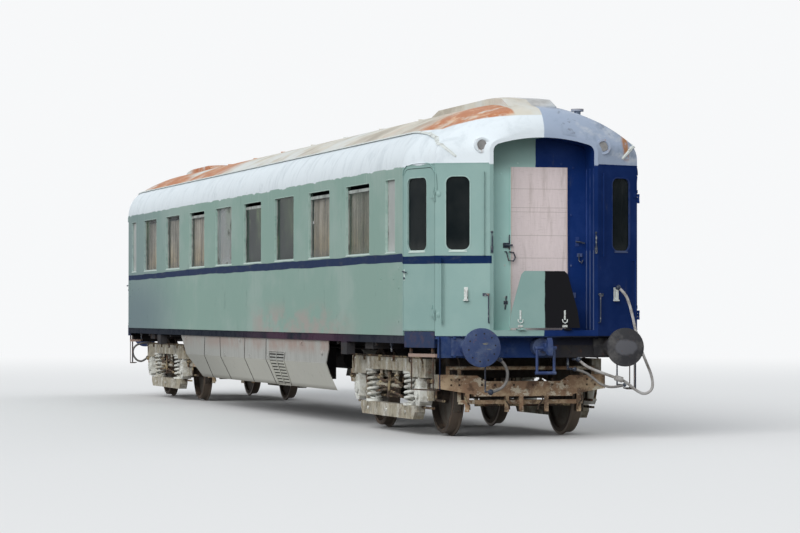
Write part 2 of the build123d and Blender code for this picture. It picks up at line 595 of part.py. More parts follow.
STRIP_W = 22
strip_line = [(9100, 3632), (9350, 3622), (9640, 3588), (9940, 3520), (10150, 3427), (10210, 3339), (10236, 3290)]
strip_up = [(x, FLANGE + z + STRIP_W / 2) for x, z in strip_line]
strip_low = [(x, FLANGE + z - STRIP_W / 2) for x, z in strip_line]
strip_band = [(-x, z) for x, z in strip_up[::-1]] + strip_up + strip_low[::-1] + [(-x, z) for x, z in strip_low]
strip = (roof_solid(-STRIP_W, PORTAL_X) & side(strip_band, -HALF_W - 2 * STRIP_W, -ROOF_SEAMS_Y[0])) - outer_roof

# Footsteps under the doors: sill box, board and a stirrup of thin bars
STEP_S0, STEP_S1 = 100, 740
STEP_IN, STEP_W, STEP_T = 20, 210, 38
STEP_Z = FLANGE + 940
SILL_BOX_S0, SILL_BOX_Z0, SILL_BOX_Z1 = 54, FLANGE + 1050, DOOR_Z0 - 6
SILL_BOX_BACK = 45
THIN = 12
STIRRUP_Z = FLANGE + 560
POST_S = 680
HANGER_W = 30
facet_end = DOOR_LEN - JAMB - DOOR_GAP
sill_box = [on(door_plane, SILL_BOX_S0, facet_end, SILL_BOX_Z0, SILL_BOX_Z1, 0.5 - SOLE_IN, DOOR_SILL_OUT),
            on(door_plane, SILL_BOX_S0, STEP_S1, SILL_BOX_Z0, SILL_BOTTOM, -SILL_BOX_BACK, DOOR_SILL_OUT)]
board = on(door_plane, STEP_S0, STEP_S1, STEP_Z, STEP_Z + STEP_T, -STEP_W, -STEP_IN)
hangers = [on(door_plane, s, s + HANGER_W, STEP_Z, SILL_BOX_Z0 + 10, -SILL_BOX_BACK, -STEP_IN)
           for s in (STEP_S0 + HANGER_W, STEP_S1 - 3 * HANGER_W)]
bar_out = -STEP_IN - THIN
rear_s, bar_in = STEP_S0 + 2 * HANGER_W, -8 * THIN
low_z = STIRRUP_Z - THIN
stirrup = [on(door_plane, POST_S, POST_S + THIN, STIRRUP_Z, STEP_Z + 5, bar_out, -STEP_IN),
           on(door_plane, rear_s, rear_s + THIN, STIRRUP_Z, STEP_Z + 5, bar_out, -STEP_IN),
           on(door_plane, rear_s, POST_S + THIN, low_z, STIRRUP_Z, bar_out, -STEP_IN),
           on(door_plane, rear_s, POST_S + THIN, low_z, STIRRUP_Z, bar_in - THIN, bar_in),
           on(door_plane, rear_s, rear_s + THIN, low_z, STIRRUP_Z, bar_in, -STEP_IN),
           on(door_plane, POST_S, POST_S + THIN, low_z, STIRRUP_Z, bar_in, -STEP_IN)]
step = merge(sill_box + [board] + hangers + stirrup)
hand_post = box(HEAD_X, HEAD_X + THIN, -HEAD_Y, -HEAD_Y + THIN, STIRRUP_Z, BODY_BOTTOM - APRON_T)

# Handrails on the corner panels
RAIL_S, RAIL_N, RAIL_R = 75, 48, 11
RAIL_Z0, RAIL_Z1 = FLANGE + 1330, FLANGE + 2100
ROD_S, ROD_N, ROD_R = 576, 30, 7
ROD_Z0, ROD_Z1 = FLANGE + 2120, FLANGE + 3110


def rail(s, n, r, z0, z1):
    """Upright rail on a corner panel, on two feet."""
    upright = bar("Y", r, (s, z0, n), z1 - z0)
    feet = [bar("Z", 0.65 * r, (s, z, 0), n) for z in (z0 + 2 * r, z1 - 2 * r)]
    return corner_plane * merge([upright] + feet)


handrails = both_ends(both_sides([rail(RAIL_S, RAIL_N, RAIL_R, RAIL_Z0, RAIL_Z1),
                                  rail(ROD_S, ROD_N, ROD_R, ROD_Z0, ROD_Z1), hand_post]))

# Hoses and what holds them at the ends, with heights above the rail in the routes
HEAT_D, BRAKE_D, JUMPER_D = 34, 36, 30
ROUTES = {
    "heating_hose": (HEAT_D, [(10340, 460, 895), (10350, 530, 832), (10360, 670, 775), (10365, 850, 712),
                              (10365, 1010, 660), (10360, 1150, 545), (10360, 1262, 492), (10360, 1368, 560),
                              (10360, 1352, 720), (10350, 1262, 925), (10340, 1178, 1150), (10335, 1130, 1370),
                              (10330, 1085, 1560), (10325, 1035, 1685), (10320, 965, 1745)]),
    "brake_hose": (BRAKE_D, [(10360, -513, 900), (10360, -455, 840), (10360, -431, 745), (10360, -456, 628),
                             (10360, -541, 560), (10360, -620, 540)]),
    "jumper_hose": (JUMPER_D, [(10400, 395, 795), (10400, 500, 770), (10400, 600, 700), (10400, 705, 612),
                               (10400, 850, 578), (10400, 975, 606)]),
    "brake_hose_rear": (BRAKE_D, [(-10360, -905, 912), (-10360, -1020, 902), (-10360, -1130, 860),
                                  (-10360, -1185, 770), (-10360, -1165, 660), (-10360, -1090, 575),
                                  (-10360, -990, 565), (-10360, -918, 628)]),
}


def hose(name):
    """Tube along straight runs joined by arcs as large as the runs allow."""
    d, route = ROUTES[name]
    pts = [Vector(x, y, z + FLANGE) for x, y, z in route]
    runs = [b - a for a, b in zip(pts, pts[1:])]
    radii = []
    for a, b in zip(runs, runs[1:]):
        turn = math.radians(a.get_angle(b))
        radii.append(0.45 * min(a.length, b.length) / math.tan(turn / 2))
    path = FilletPolyline(*pts, radius=radii)
    tube = sweep(Plane(origin=pts[0], z_dir=runs[0]) * Circle(d / 2), path=path)
    want = math.pi * d * d / 4 * path.length
    print(name, "radii", [round(r) for r in radii], "length", round(path.length),
          "volume ratio", round(tube.volume / want, 4))
    return tube


hoses = {name: hose(name) for name in ROUTES}


def end_point(name, last):
    """First or last point of a route in row coordinates."""
    x, y, z = ROUTES[name][1][-1 if last else 0]
    return x, y, z + FLANGE


def knob(point, r):
    """Round body that a hose ends in."""
    return Pos(*point) * Sphere(r)


def hanging(x0, x1, y, z, r):
    """Bar down from the headstock and along X to x1, with a round elbow."""
    elbow = Pos(x0, y, z) * Sphere(1.15 * r)
    return merge([bar("Z", r, (x0, y, z), HEAD_Z0 - z), elbow, bar("X", r, (min(x0, x1), y, z), abs(x1 - x0))])


HOSE_HANG_X = HEAD_X - HEAD_T / 2
heat_in, heat_out = end_point("heating_hose", False), end_point("heating_hose", True)
jump_in, jump_out = end_point("jumper_hose", False), end_point("jumper_hose", True)
brake_in, brake_out = end_point("brake_hose", False), end_point("brake_hose", True)
rear_in, rear_out = end_point("brake_hose_rear", False), end_point("brake_hose_rear", True)
left_panel = panel.mirror(Plane.XZ)
FIT_R, ARM_R = 30, 14
fittings = [
    merge([knob((heat_in[0], heat_in[1] - 18, heat_in[2] + 18), FIT_R),
           hanging(HOSE_HANG_X, heat_in[0], heat_in[1] - 18, heat_in[2] + 18, ARM_R)]),
    merge([knob((heat_out[0], heat_out[1] - 20, heat_out[2] + 16), FIT_R),
           bar("X", ARM_R, (heat_out[0] - 4 * FIT_R, heat_out[1] - 20, heat_out[2] + 16), 4 * FIT_R)]) - left_panel,
    merge([knob((jump_in[0], jump_in[1] - 18, jump_in[2] + 5), FIT_R - 4),
           hanging(HOSE_HANG_X, jump_in[0], jump_in[1] - 18, jump_in[2] + 5, ARM_R)]),
    merge([knob((jump_out[0], jump_out[1] + 18, jump_out[2] + 5), FIT_R - 6),
           hanging(HOSE_HANG_X, jump_out[0], jump_out[1] + 18, jump_out[2] + 5, THIN - 3)]),
    merge([knob((brake_in[0], brake_in[1] - 14, brake_in[2] + 14), FIT_R),
           hanging(HOSE_HANG_X, brake_in[0], brake_in[1] - 14, brake_in[2] + 14, ARM_R)]),
    merge([knob((brake_out[0], brake_out[1] - 22, brake_out[2] - 5), FIT_R + 4),
           hanging(HOSE_HANG_X, brake_out[0], brake_out[1] - 22, brake_out[2] - 5, THIN - 3)]),
    merge([knob((-rear_in[0], rear_in[1] + 20, rear_in[2] + 3), FIT_R),
           hanging(HOSE_HANG_X, -rear_in[0], rear_in[1] + 20, rear_in[2] + 3, ARM_R)]).mirror(Plane.YZ),
    merge([knob((-rear_out[0], rear_out[1] + 14, rear_out[2] + 14), FIT_R),
           hanging(HOSE_HANG_X, -rear_out[0], rear_out[1] + 14, rear_out[2] + 14, THIN - 3)]).mirror(Plane.YZ),
]
COLLAR_R, COLLAR_L = 34, 90
collar_at = Plane(origin=(10365, 935, FLANGE + 684), z_dir=(0, 0.951, -0.309))
collar = collar_at * Cylinder(COLLAR_R, COLLAR_L)

# Interior: partitions, seats and curtains
partitions = []
inner_w = HALF_W - WALL_T
floor_top = BODY_BOTTOM + FLOOR_T
passage = box(0, PORTAL_X, -PASSAGE_W / 2, PASSAGE_W / 2, floor_top - 1, floor_top + PASSAGE_H)
for x in PARTITION_X:
    partitions.append(box(x, x + PARTITION_T, -inner_w, inner_w, floor_top, EAVE) - passage)
wc = box(PARTITION_X[0] + PARTITION_T, PARTITION_X[1], -TOILET_Y - PARTITION_T, -TOILET_Y, floor_top, EAVE)
partitions = [merge(partitions + [wc, wc.mirror(Plane.XZ)])]
partitions = both_ends(partitions)

seats = []
seat_y0 = -inner_w + SEAT_WALL_GAP
for k in range(WIN_N):
    xc = (k - (WIN_N - 1) / 2) * WIN_PITCH
    for way in (-1, 1):
        x_back = xc + way * (WIN_PITCH / 2 - SEAT_GAP)
        x_front = x_back - way * SEAT_D
        base = box(x_back, x_front, seat_y0, seat_y0 + SEAT_W, floor_top, floor_top + SEAT_H)
        back = box(x_back, x_back - way * SEAT_BACK_T, seat_y0, seat_y0 + SEAT_W, floor_top, floor_top + SEAT_BACK_H)
        seats.append(merge([base, back]))
seats = both_sides(seats)

curtains = []
for x, w, drop in table_right[:WIN_N]:
    for way in (-1, 1):
        x_out = x + way * (w / 2 + POCKET_SIDE)
        curtains.append(box(x_out, x_out - way * w * CURTAIN_SHARE, -inner_w + CURTAIN_GAP, -inner_w + CURTAIN_GAP + CURTAIN_T,
                            WIN_Z0 - CURTAIN_DROP, WIN_Z1 + CURTAIN_RISE))

# Bridge plates at the portals, raised, and the plywood in the front doorway
BRIDGE_T = 10
BRIDGE_X = 10415
BRIDGE_Z0, BRIDGE_Z1 = FLANGE + 1284, FLANGE + 1950
BRIDGE_TOP_Y, BRIDGE_LOW_Y = 285, 435
bridge_shape = [(-BRIDGE_LOW_Y, BRIDGE_Z0), (BRIDGE_LOW_Y, BRIDGE_Z0), (BRIDGE_LOW_Y - 30, BRIDGE_Z0 + 200),
                (BRIDGE_TOP_Y, BRIDGE_Z1 - 40), (BRIDGE_TOP_Y - 40, BRIDGE_Z1), (-BRIDGE_TOP_Y + 40, BRIDGE_Z1),
                (-BRIDGE_TOP_Y, BRIDGE_Z1 - 40), (-BRIDGE_LOW_Y + 30, BRIDGE_Z0 + 200)]
bridge = cross(bridge_shape, BRIDGE_X, BRIDGE_X + BRIDGE_T)
BRIDGE_HINGE_Y = 283
EAR_R = 9
BRIDGE_HINGE_Z = BRIDGE_Z0 - 18
BRIDGE_HINGE_X = BRIDGE_X + BRIDGE_T + 6
bridge_lugs = []
for y in (-BRIDGE_HINGE_Y, BRIDGE_HINGE_Y):
    eye = bar("Y", KNUCKLE_R, (BRIDGE_HINGE_X, y - 20, BRIDGE_HINGE_Z), 40)
    strap = box(BRIDGE_X, BRIDGE_X + BRIDGE_T, y - 20, y + 20, BRIDGE_HINGE_Z, BRIDGE_Z0)
    hole = bar("Y", PIN_R + PIN_CLEAR, (BRIDGE_HINGE_X, y - 60, BRIDGE_HINGE_Z), 120)
    bridge = merge([bridge, eye, strap]) - hole
    pin = bar("Y", PIN_R, (BRIDGE_HINGE_X, y - 45, BRIDGE_HINGE_Z), 90)
    ears = [box(PORTAL_X - LIP, BRIDGE_HINGE_X + EAR_R, y + k * 25, y + k * 45,
                BRIDGE_HINGE_Z - EAR_R, BRIDGE_HINGE_Z + EAR_R) for k in (-1, 1)]
    bridge_lugs.append(merge([pin] + ears))
THRESHOLD_Z = BRIDGE_HINGE_Z - EAR_R
threshold = box(bulkhead_x, PORTAL_X, -PORTAL_Y + LIP, PORTAL_Y - LIP, BODY_BOTTOM, THRESHOLD_Z)
end_wall = end_wall + threshold
end_wall = merge([end_wall] + [lug for lug in bridge_lugs])
PLY_T = 15
PLY_LAP = 12
plywood = box(bulkhead_x, bulkhead_x + PLY_T, DOORWAY_Y0 - PLY_LAP, DOORWAY_Y1 + PLY_LAP,
              THRESHOLD_Z, DOORWAY_TOP)

# Rear end door, hinged inwards in its doorway
end_wall_rear = end_wall.mirror(Plane.YZ)
END_DOOR_T = 36
END_DOOR_GAP = 8
ed_x1 = -bulkhead_x + BULKHEAD_T
ed_y0, ed_y1 = DOORWAY_Y0 + END_DOOR_GAP, DOORWAY_Y1 - END_DOOR_GAP
ed_z0 = BODY_BOTTOM + FLOOR_T + END_DOOR_GAP
end_door = box(ed_x1 - END_DOOR_T, ed_x1, ed_y0, ed_y1, ed_z0, DOORWAY_TOP - END_DOOR_GAP)
end_glass_box = (ed_y0 + 130, ed_y1 - 130, FLANGE + 2250, FLANGE + 2990)
end_door = end_door - box(ed_x1 - 100, ed_x1 + 100, *end_glass_box)
end_door_glass = box(ed_x1 - END_DOOR_T / 2 - GLASS_T / 2, ed_x1 - END_DOOR_T / 2 + GLASS_T / 2, *end_glass_box)
END_PIN_X, END_PIN_Y = ed_x1 + HINGE_OUT, ed_y1 + END_DOOR_GAP / 2
END_HINGE_Z = (FLANGE + 1500, FLANGE + 2900)
END_EYE_H, END_EAR_H = 36, 28
rear_ears = []
for z in END_HINGE_Z:
    half_eye = END_EYE_H / 2
    eye = bar("Z", KNUCKLE_R, (END_PIN_X, END_PIN_Y, z - half_eye), END_EYE_H)
    strap = box(ed_x1, END_PIN_X, ed_y1 - 50, END_PIN_Y, z - half_eye, z + half_eye)
    hole = bar("Z", PIN_R + PIN_CLEAR, (END_PIN_X, END_PIN_Y, z - PIN_H / 2), PIN_H)
    end_door = merge([end_door, eye, strap]) - hole
    pin = bar("Z", PIN_R, (END_PIN_X, END_PIN_Y, z - PIN_H / 2 + 5), PIN_H - 10)
    ears = []
    for k in (-1, 1):
        z0 = z + k * (half_eye + 4)
        z1 = z0 + k * END_EAR_H
        ears.append(box(ed_x1, END_PIN_X + KNUCKLE_R, DOORWAY_Y1, END_PIN_Y + KNUCKLE_R + 20, z0, z1))
        ears.append(box(ed_x1, END_PIN_X + KNUCKLE_R, END_PIN_Y - 2, END_PIN_Y + KNUCKLE_R, z0, z1))
    rear_ears.append(merge([pin] + ears))
end_wall_rear = merge([end_wall_rear] + rear_ears)
print("end door pin", END_PIN_X, END_PIN_Y, "bridge pin", BRIDGE_HINGE_X, BRIDGE_HINGE_Z)

# Wheelset: axle and two wheels turned in one profile
axle_z = FLANGE + WHEEL_R


def wheelset(x):
    fy0, fy1 = BACK_Y, BACK_Y + FLANGE_T
    fy2 = fy1 + TREAD_W
    rim_in = WHEEL_R - RIM_T
    mid = (fy0 + fy2) / 2
    hub0, hub1 = mid - HUB_W / 2, mid + HUB_W / 2
    half = [(0, AXLE_R), (hub0, AXLE_R), (hub0, HUB_R), (mid - WEB_T, HUB_R), (mid - WEB_T / 2 - 20, rim_in),
            (fy0, rim_in), (fy0, WHEEL_R + FLANGE - 8), (fy0 + 8, WHEEL_R + FLANGE), (fy0 + 22, WHEEL_R + FLANGE),
            (fy1, WHEEL_R + 3), (fy2 - 6, WHEEL_R - 3), (fy2, WHEEL_R - 9), (fy2, rim_in),
            (mid + WEB_T / 2 - 20, rim_in), (mid, HUB_R), (hub1, HUB_R), (hub1, AXLE_R), (JOURNAL_END - 190, AXLE_R),
            (JOURNAL_END - 170, JOURNAL_R), (JOURNAL_END, JOURNAL_R)]
    pts = [(x, y, axle_z + r) for y, r in half] + [(x, JOURNAL_END, axle_z)]
    pts += [(x, -JOURNAL_END, axle_z)] + [(x, -y, axle_z + r) for y, r in reversed(half[1:])]
    face = Face(Wire.make_polygon([Vector(*p) for p in pts]))
    return revolve(face, Axis((x, 0, axle_z), (0, 1, 0)), 360)


# Bogie, written for a pivot at x = 0
BEAM_Z0, BEAM_Z1 = FLANGE + 745, FLANGE + 905
BEAM_END_Z0 = FLANGE + 680   # the beam is deeper over the axles
BEAM_Y0, BEAM_Y1 = 990, 1110
BEAM_STEP_X, BEAM_X = WHEELBASE / 2 - 350, WHEELBASE / 2 + 330
BOGIE_END = WHEELBASE / 2 + 700
EXT_Y0, EXT_Y1 = 850, 1030
EXT_Z0, EXT_Z1 = FLANGE + 557, FLANGE + 723
END_T = 25
END_FLANGE, END_FLANGE_Y = 110, 620
END_SHAPE = [(-1030, 555), (-1030, 720), (-580, 712), (-460, 645), (460, 645), (580, 712), (1030, 720), (1030, 555),
             (620, 487), (-620, 487)]
IRON_Y, IRON_W, IRON_Z0 = (-700, -206, -25, 290, 700), 50, FLANGE + 280
BOX_W, BOX_H = 230, 320
BOX_Y0, BOX_Y1 = 965, 1120
BOX_CAP_R, BOX_CAP_T = 80, 22
GUIDE_W = 90
GUIDE_Y0, GUIDE_Y1 = 970, 1040
GUIDE_OUT_Z0 = FLANGE + 400
BOX_GAP = 20
SPRING_X = WHEELBASE / 2 - 550
SPRING_Y = 1040
SPRING_R, WIRE_R, TURNS = 98, 19, 5
LOW_Y0, LOW_Y1 = 985, 1115
LOW_Z0, LOW_Z1 = FLANGE + 165, FLANGE + 330
LOW_X = WHEELBASE / 2 - 140
LOW_TIP = 90                 # its lower corners are cut off
TRANSOM_X, TRANSOM_W = 480, 120
LONG_Y, LONG_W = 500, 100
SHOE_Y, SHOE_GAP, SHOE_T, SHOE_W = 768, 12, 58, 80
HANGER_X, HANGER_T = 562, 28
PIPE_X, PIPE_R, PIPE_Y = WHEELBASE / 2 + 576, 25, 930
PIPE_Z = FLANGE + 800
BOLSTER_W = 340
LINK_BAR_Y, LINK_BAR_Z, LINK_BAR_R = 1060, FLANGE + 555, 28
LINK_X = (-450, 300)


def side_frame():
    """Beam over one side's axleboxes with its guides and the extension to the end plate."""
    ax = WHEELBASE / 2
    shape = [(-BEAM_X, BEAM_END_Z0), (-BEAM_X, BEAM_Z1), (BEAM_X, BEAM_Z1), (BEAM_X, BEAM_END_Z0),
             (BEAM_STEP_X, BEAM_END_Z0), (BEAM_STEP_X - 60, BEAM_Z0), (-BEAM_STEP_X + 60, BEAM_Z0),
             (-BEAM_STEP_X, BEAM_END_Z0)]
    pieces = [side(shape, -BEAM_Y1, -BEAM_Y0)]
    for x in (-ax, ax):
        out = 1 if x > 0 else -1
        outer = x + out * (BOX_W / 2 + BOX_GAP)
        inner = x - out * (BOX_W / 2 + BOX_GAP)
        pieces.append(box(outer, outer + out * GUIDE_W, -GUIDE_Y1, -GUIDE_Y0, GUIDE_OUT_Z0, BEAM_END_Z0 + 5))
        pieces.append(box(inner, inner - out * GUIDE_W, -GUIDE_Y1, -GUIDE_Y0, LOW_Z1, BEAM_END_Z0 + 5))
        pieces.append(box(out * (BEAM_X - 60), out * BOGIE_END, -EXT_Y1, -EXT_Y0, EXT_Z0, EXT_Z1))
    pieces.append(bar("X", LINK_BAR_R, (-620, -LINK_BAR_Y, LINK_BAR_Z), 1070))
    for x in LINK_X:
        pieces.append(bar("Z", LINK_BAR_R - 6, (x, -LINK_BAR_Y, LINK_BAR_Z), BEAM_Z0 - LINK_BAR_Z + 5))
    return merge(pieces)


def end_frame(way):
    """End plate of the bogie with its flange and the irons in front of the wheels."""
    x0, x1 = sorted((way * BOGIE_END, way * (BOGIE_END - END_T)))
    pieces = [cross([(y, FLANGE + z) for y, z in END_SHAPE], x0, x1)]
    flange_z = FLANGE + END_SHAPE[-1][1]
    pieces.append(box(way * BOGIE_END, way * (BOGIE_END - END_FLANGE), -END_FLANGE_Y, END_FLANGE_Y,
                      flange_z - 22, flange_z + 5))
    for y in IRON_Y:
        pieces.append(box(x0, x1, y - IRON_W / 2, y + IRON_W / 2, IRON_Z0, flange_z + 40))
    return merge(pieces)


def bogie_frame():
    """Two side frames, transoms, the pivot beam with its pin, and the end plates."""
    inner = BEAM_Y0 + 10
    transoms = [box(x - TRANSOM_W / 2, x + TRANSOM_W / 2, -inner, inner, BEAM_Z0 - 95, BEAM_Z1 - 20)
                for x in (-TRANSOM_X, TRANSOM_X)]
    pivot_beam = box(-BOLSTER_W / 2, BOLSTER_W / 2, -inner, inner, BEAM_Z0 - 45, BEAM_Z1)
    longs = [box(-TRANSOM_X, TRANSOM_X, y - LONG_W / 2, y + LONG_W / 2, BEAM_Z0 - 45, BEAM_Z1 - 20)
             for y in (-LONG_Y, LONG_Y)]
    pivot = bar("Z", PIVOT_R, (0, 0, BEAM_Z1 - 10), PIVOT_TOP - BEAM_Z1 + 10)
    pad = bar("Z", CENTRE_PLATE_R - 30, (0, 0, BEAM_Z1 - 10), CENTRE_PLATE_Z - CENTRE_GAP - BEAM_Z1 + 10)
    right = side_frame()
    return merge([right, right.mirror(Plane.XZ)] + transoms + [pivot_beam] + longs
                 + [end_frame(-1), end_frame(1), pad, pivot])


def axleboxes():
    """Boxes on the right side: a housing with its cover, up to the beam, bored for the journal."""
    out = []
    for x in (-WHEELBASE / 2, WHEELBASE / 2):
        body = box(x - BOX_W / 2, x + BOX_W / 2, -BOX_Y1, -BOX_Y0, axle_z - BOX_H / 2, axle_z + BOX_H / 2)
        lower = body.edges().filter_by(Axis.Y).group_by(Axis.Z)[0]
        upper = body.edges().filter_by(Axis.Y).group_by(Axis.Z)[-1]
        body = chamfer(list(lower) + list(upper), 45)
        cap = bar("Y", BOX_CAP_R, (x, -BOX_Y1 - BOX_CAP_T, axle_z), BOX_CAP_T + 10)
        saddle = box(x - 60, x + 60, -BEAM_Y1 + 10, -BEAM_Y0 - 10, axle_z + BOX_H / 2 - 5, BEAM_END_Z0)
        journal = bar("Y", JOURNAL_R + PIN_CLEAR, (x, -JOURNAL_END - 5, axle_z), JOURNAL_END)
        out.append(merge([body, cap, saddle]) - journal)
    return out


def spring_set():
    """Spring beam of the right side with its two springs, each a core with rings."""
    pieces = [box(-LOW_X, LOW_X, -LOW_Y1, -LOW_Y0, LOW_Z0, LOW_Z1)]
    for k in (-1, 1):
        x0, x1 = k * LOW_X, k * (LOW_X - LOW_TIP)
        tip = [(x0, -LOW_Y1, LOW_Z0), (x1, -LOW_Y1, LOW_Z0), (x0, -LOW_Y1, LOW_Z0 + LOW_TIP)]
        pieces[0] = pieces[0] - prism(tip, (0, LOW_Y1 - LOW_Y0, 0))
    pitch = (BEAM_Z0 - LOW_Z1 - 2 * WIRE_R) / TURNS
    for x in (-SPRING_X, SPRING_X):
        pieces.append(bar("Z", SPRING_R - 1.5 * WIRE_R, (x, -SPRING_Y, LOW_Z1 - 5), BEAM_Z0 - LOW_Z1 + 5))
        pieces += [Pos(x, -SPRING_Y, LOW_Z1 + WIRE_R + pitch * (i + 0.5)) * Torus(SPRING_R - WIRE_R, WIRE_R)
                   for i in range(TURNS)]
    return merge(pieces)


def brake_gear(way):
    """Shoes, hangers and beam outside one axle, hung from a pipe across the extensions."""
    x = way * WHEELBASE / 2
    pieces = []
    for y in (-SHOE_Y, SHOE_Y):
        outer = Pos(x, y, axle_z) * Rot(90, 0, 0) * Cylinder(WHEEL_R + SHOE_GAP + SHOE_T, SHOE_W)
        inner = Pos(x, y, axle_z) * Rot(90, 0, 0) * Cylinder(WHEEL_R + SHOE_GAP, 2 * SHOE_W)
        reach = box(x + way * 440, x + way * 640, y - SHOE_W, y + SHOE_W, axle_z - 230, axle_z + 120)
        pieces.append((outer - inner) & reach)
        pieces.append(box(x + way * HANGER_X, x + way * (HANGER_X + HANGER_T), y - 22, y + 22, axle_z - 100, PIPE_Z))
    pieces.append(box(x + way * (HANGER_X + 3), x + way * (HANGER_X + 38), -SHOE_Y - 12, SHOE_Y + 12,
                      axle_z - 130, axle_z - 80))
    pieces.append(bar("Y", PIPE_R, (way * PIPE_X, -PIPE_Y, PIPE_Z), 2 * PIPE_Y))
    for y in (-PIPE_Y + 20, PIPE_Y - 20):
        pieces.append(box(way * PIPE_X - 20, way * PIPE_X + 20, y - 20, y + 20, EXT_Z1, PIPE_Z))
    return merge(pieces)


bogie_parts = {
    "frame": [bogie_frame()],
    "axleboxes": both_sides(axleboxes()),
    "springs": both_sides([spring_set()]),
    "brake_gear": [brake_gear(-1), brake_gear(1)],
}

# Equipment under the floor
BATTERY_X, BATTERY_Y, BATTERY_Z0 = (1200, 2600), (560, 1120), FLANGE + 520
TANK_R, TANK_X0, TANK_L, TANK_Y, TANK_Z = 170, -2400, 1300, 650, FLANGE + 760
STRAP_W = 40
batteries = both_sides([box(BATTERY_X[0], BATTERY_X[1], -BATTERY_Y[1], -BATTERY_Y[0], BATTERY_Z0, CROSS_Z0)])
tank_straps = [box(x - STRAP_W / 2, x + STRAP_W / 2, -TANK_Y - 60, -TANK_Y + 60, TANK_Z, BODY_BOTTOM - DECK_T)
               for x in (TANK_X0 + 200, TANK_X0 + TANK_L - 200)]
tanks = both_sides([merge([bar("X", TANK_R, (TANK_X0, -TANK_Y, TANK_Z), TANK_L)] + tank_straps)])

bridge_rear, skirt_left = bridge.mirror(Plane.YZ), skirt.mirror(Plane.XZ)
nodes = {
    "roof": roof_pieces, "roof_end_covers": covers, "roof_ventilators": vents, "rain_strips": both_sides([strip]),
    "marker_lamps": both_ends(both_sides(lamps)),
    "side_wall_right": wall_right, "side_wall_left": wall_left,
    "end_wall_front": end_wall, "end_wall_rear": end_wall_rear,
    "sash_frames": frames_right + frames_left, "window_glass": panes_right + panes_left + end_panes,
    "door_frames": both_ends(both_sides([merge([door_frame] + hinge_pins)])),
    "floor": floor, "underframe": underframe, "headstocks": headstocks, "centre_sills": centre_sills,
    "bolsters": bolsters, "buffer_casings": casings, "buffer_heads": heads, "draw_gear": both_ends([draw_gear]),
    "skirts": [skirt, skirt_left], "footsteps": both_ends(both_sides([step])), "handrails": handrails,
    "partitions": partitions, "seats": seats, "curtains": both_sides(curtains), "plywood_panel": plywood,
    "underfloor_equipment": batteries + tanks,
    "hose_fittings": fittings, "hose_collar": collar,
    "bridge_plate_front": bridge, "bridge_plate_rear": bridge_rear,
    "end_door_rear": end_door, "end_door_rear_glass": end_door_glass,
}
nodes.update(hoses)
for name, flip in (("front_right", None), ("front_left", Plane.XZ), ("rear_right", Plane.YZ), ("rear_left", "both")):
    for part, solid in (("door", leaf), ("door_glass", door_pane)):
        if flip == "both":
            nodes[f"{part}_{name}"] = solid.mirror(Plane.YZ).mirror(Plane.XZ)
        else:
            nodes[f"{part}_{name}"] = solid.mirror(flip) if flip else solid
for end, x in (("front", BOGIE_X), ("rear", -BOGIE_X)):
    for part, solids in bogie_parts.items():
        nodes[f"bogie_{end}_{part}"] = [Pos(x, 0, 0) * s for s in solids]
    for k, way in (("outer", 1), ("inner", -1)):
        sign = 1 if x > 0 else -1
        nodes[f"wheelset_{end}_{k}"] = wheelset(x + sign * way * WHEELBASE / 2)

for name, solids in nodes.items():
    save(name, solids)
print(len(nodes), "nodes")
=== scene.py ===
import json
import math

import bpy
import numpy as np
from mathutils import Matrix, Vector

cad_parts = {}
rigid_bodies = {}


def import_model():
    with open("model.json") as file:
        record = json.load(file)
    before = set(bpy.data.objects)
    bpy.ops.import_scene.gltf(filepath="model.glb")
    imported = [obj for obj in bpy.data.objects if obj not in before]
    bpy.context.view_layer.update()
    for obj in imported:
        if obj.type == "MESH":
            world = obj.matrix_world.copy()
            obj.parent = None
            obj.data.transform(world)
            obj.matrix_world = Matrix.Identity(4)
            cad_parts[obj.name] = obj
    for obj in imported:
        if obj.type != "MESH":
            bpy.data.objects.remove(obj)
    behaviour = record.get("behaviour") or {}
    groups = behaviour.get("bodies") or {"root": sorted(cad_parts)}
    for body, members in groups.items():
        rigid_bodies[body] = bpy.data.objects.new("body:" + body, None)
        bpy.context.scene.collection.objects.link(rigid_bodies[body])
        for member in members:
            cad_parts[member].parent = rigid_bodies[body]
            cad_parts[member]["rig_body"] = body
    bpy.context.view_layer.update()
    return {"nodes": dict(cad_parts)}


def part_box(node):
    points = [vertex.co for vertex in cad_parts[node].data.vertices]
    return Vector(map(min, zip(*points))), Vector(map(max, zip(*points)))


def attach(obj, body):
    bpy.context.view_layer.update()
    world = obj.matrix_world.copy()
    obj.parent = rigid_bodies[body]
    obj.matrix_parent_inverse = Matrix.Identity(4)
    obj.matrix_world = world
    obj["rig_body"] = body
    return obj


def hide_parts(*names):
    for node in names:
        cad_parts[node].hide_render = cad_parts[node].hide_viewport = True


# Passenger coach with rounded portal ends, metres, +X towards the two-tone end, +Z up.
# The photographed side is -Y, called the right side.

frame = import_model()
NODES = frame["nodes"]

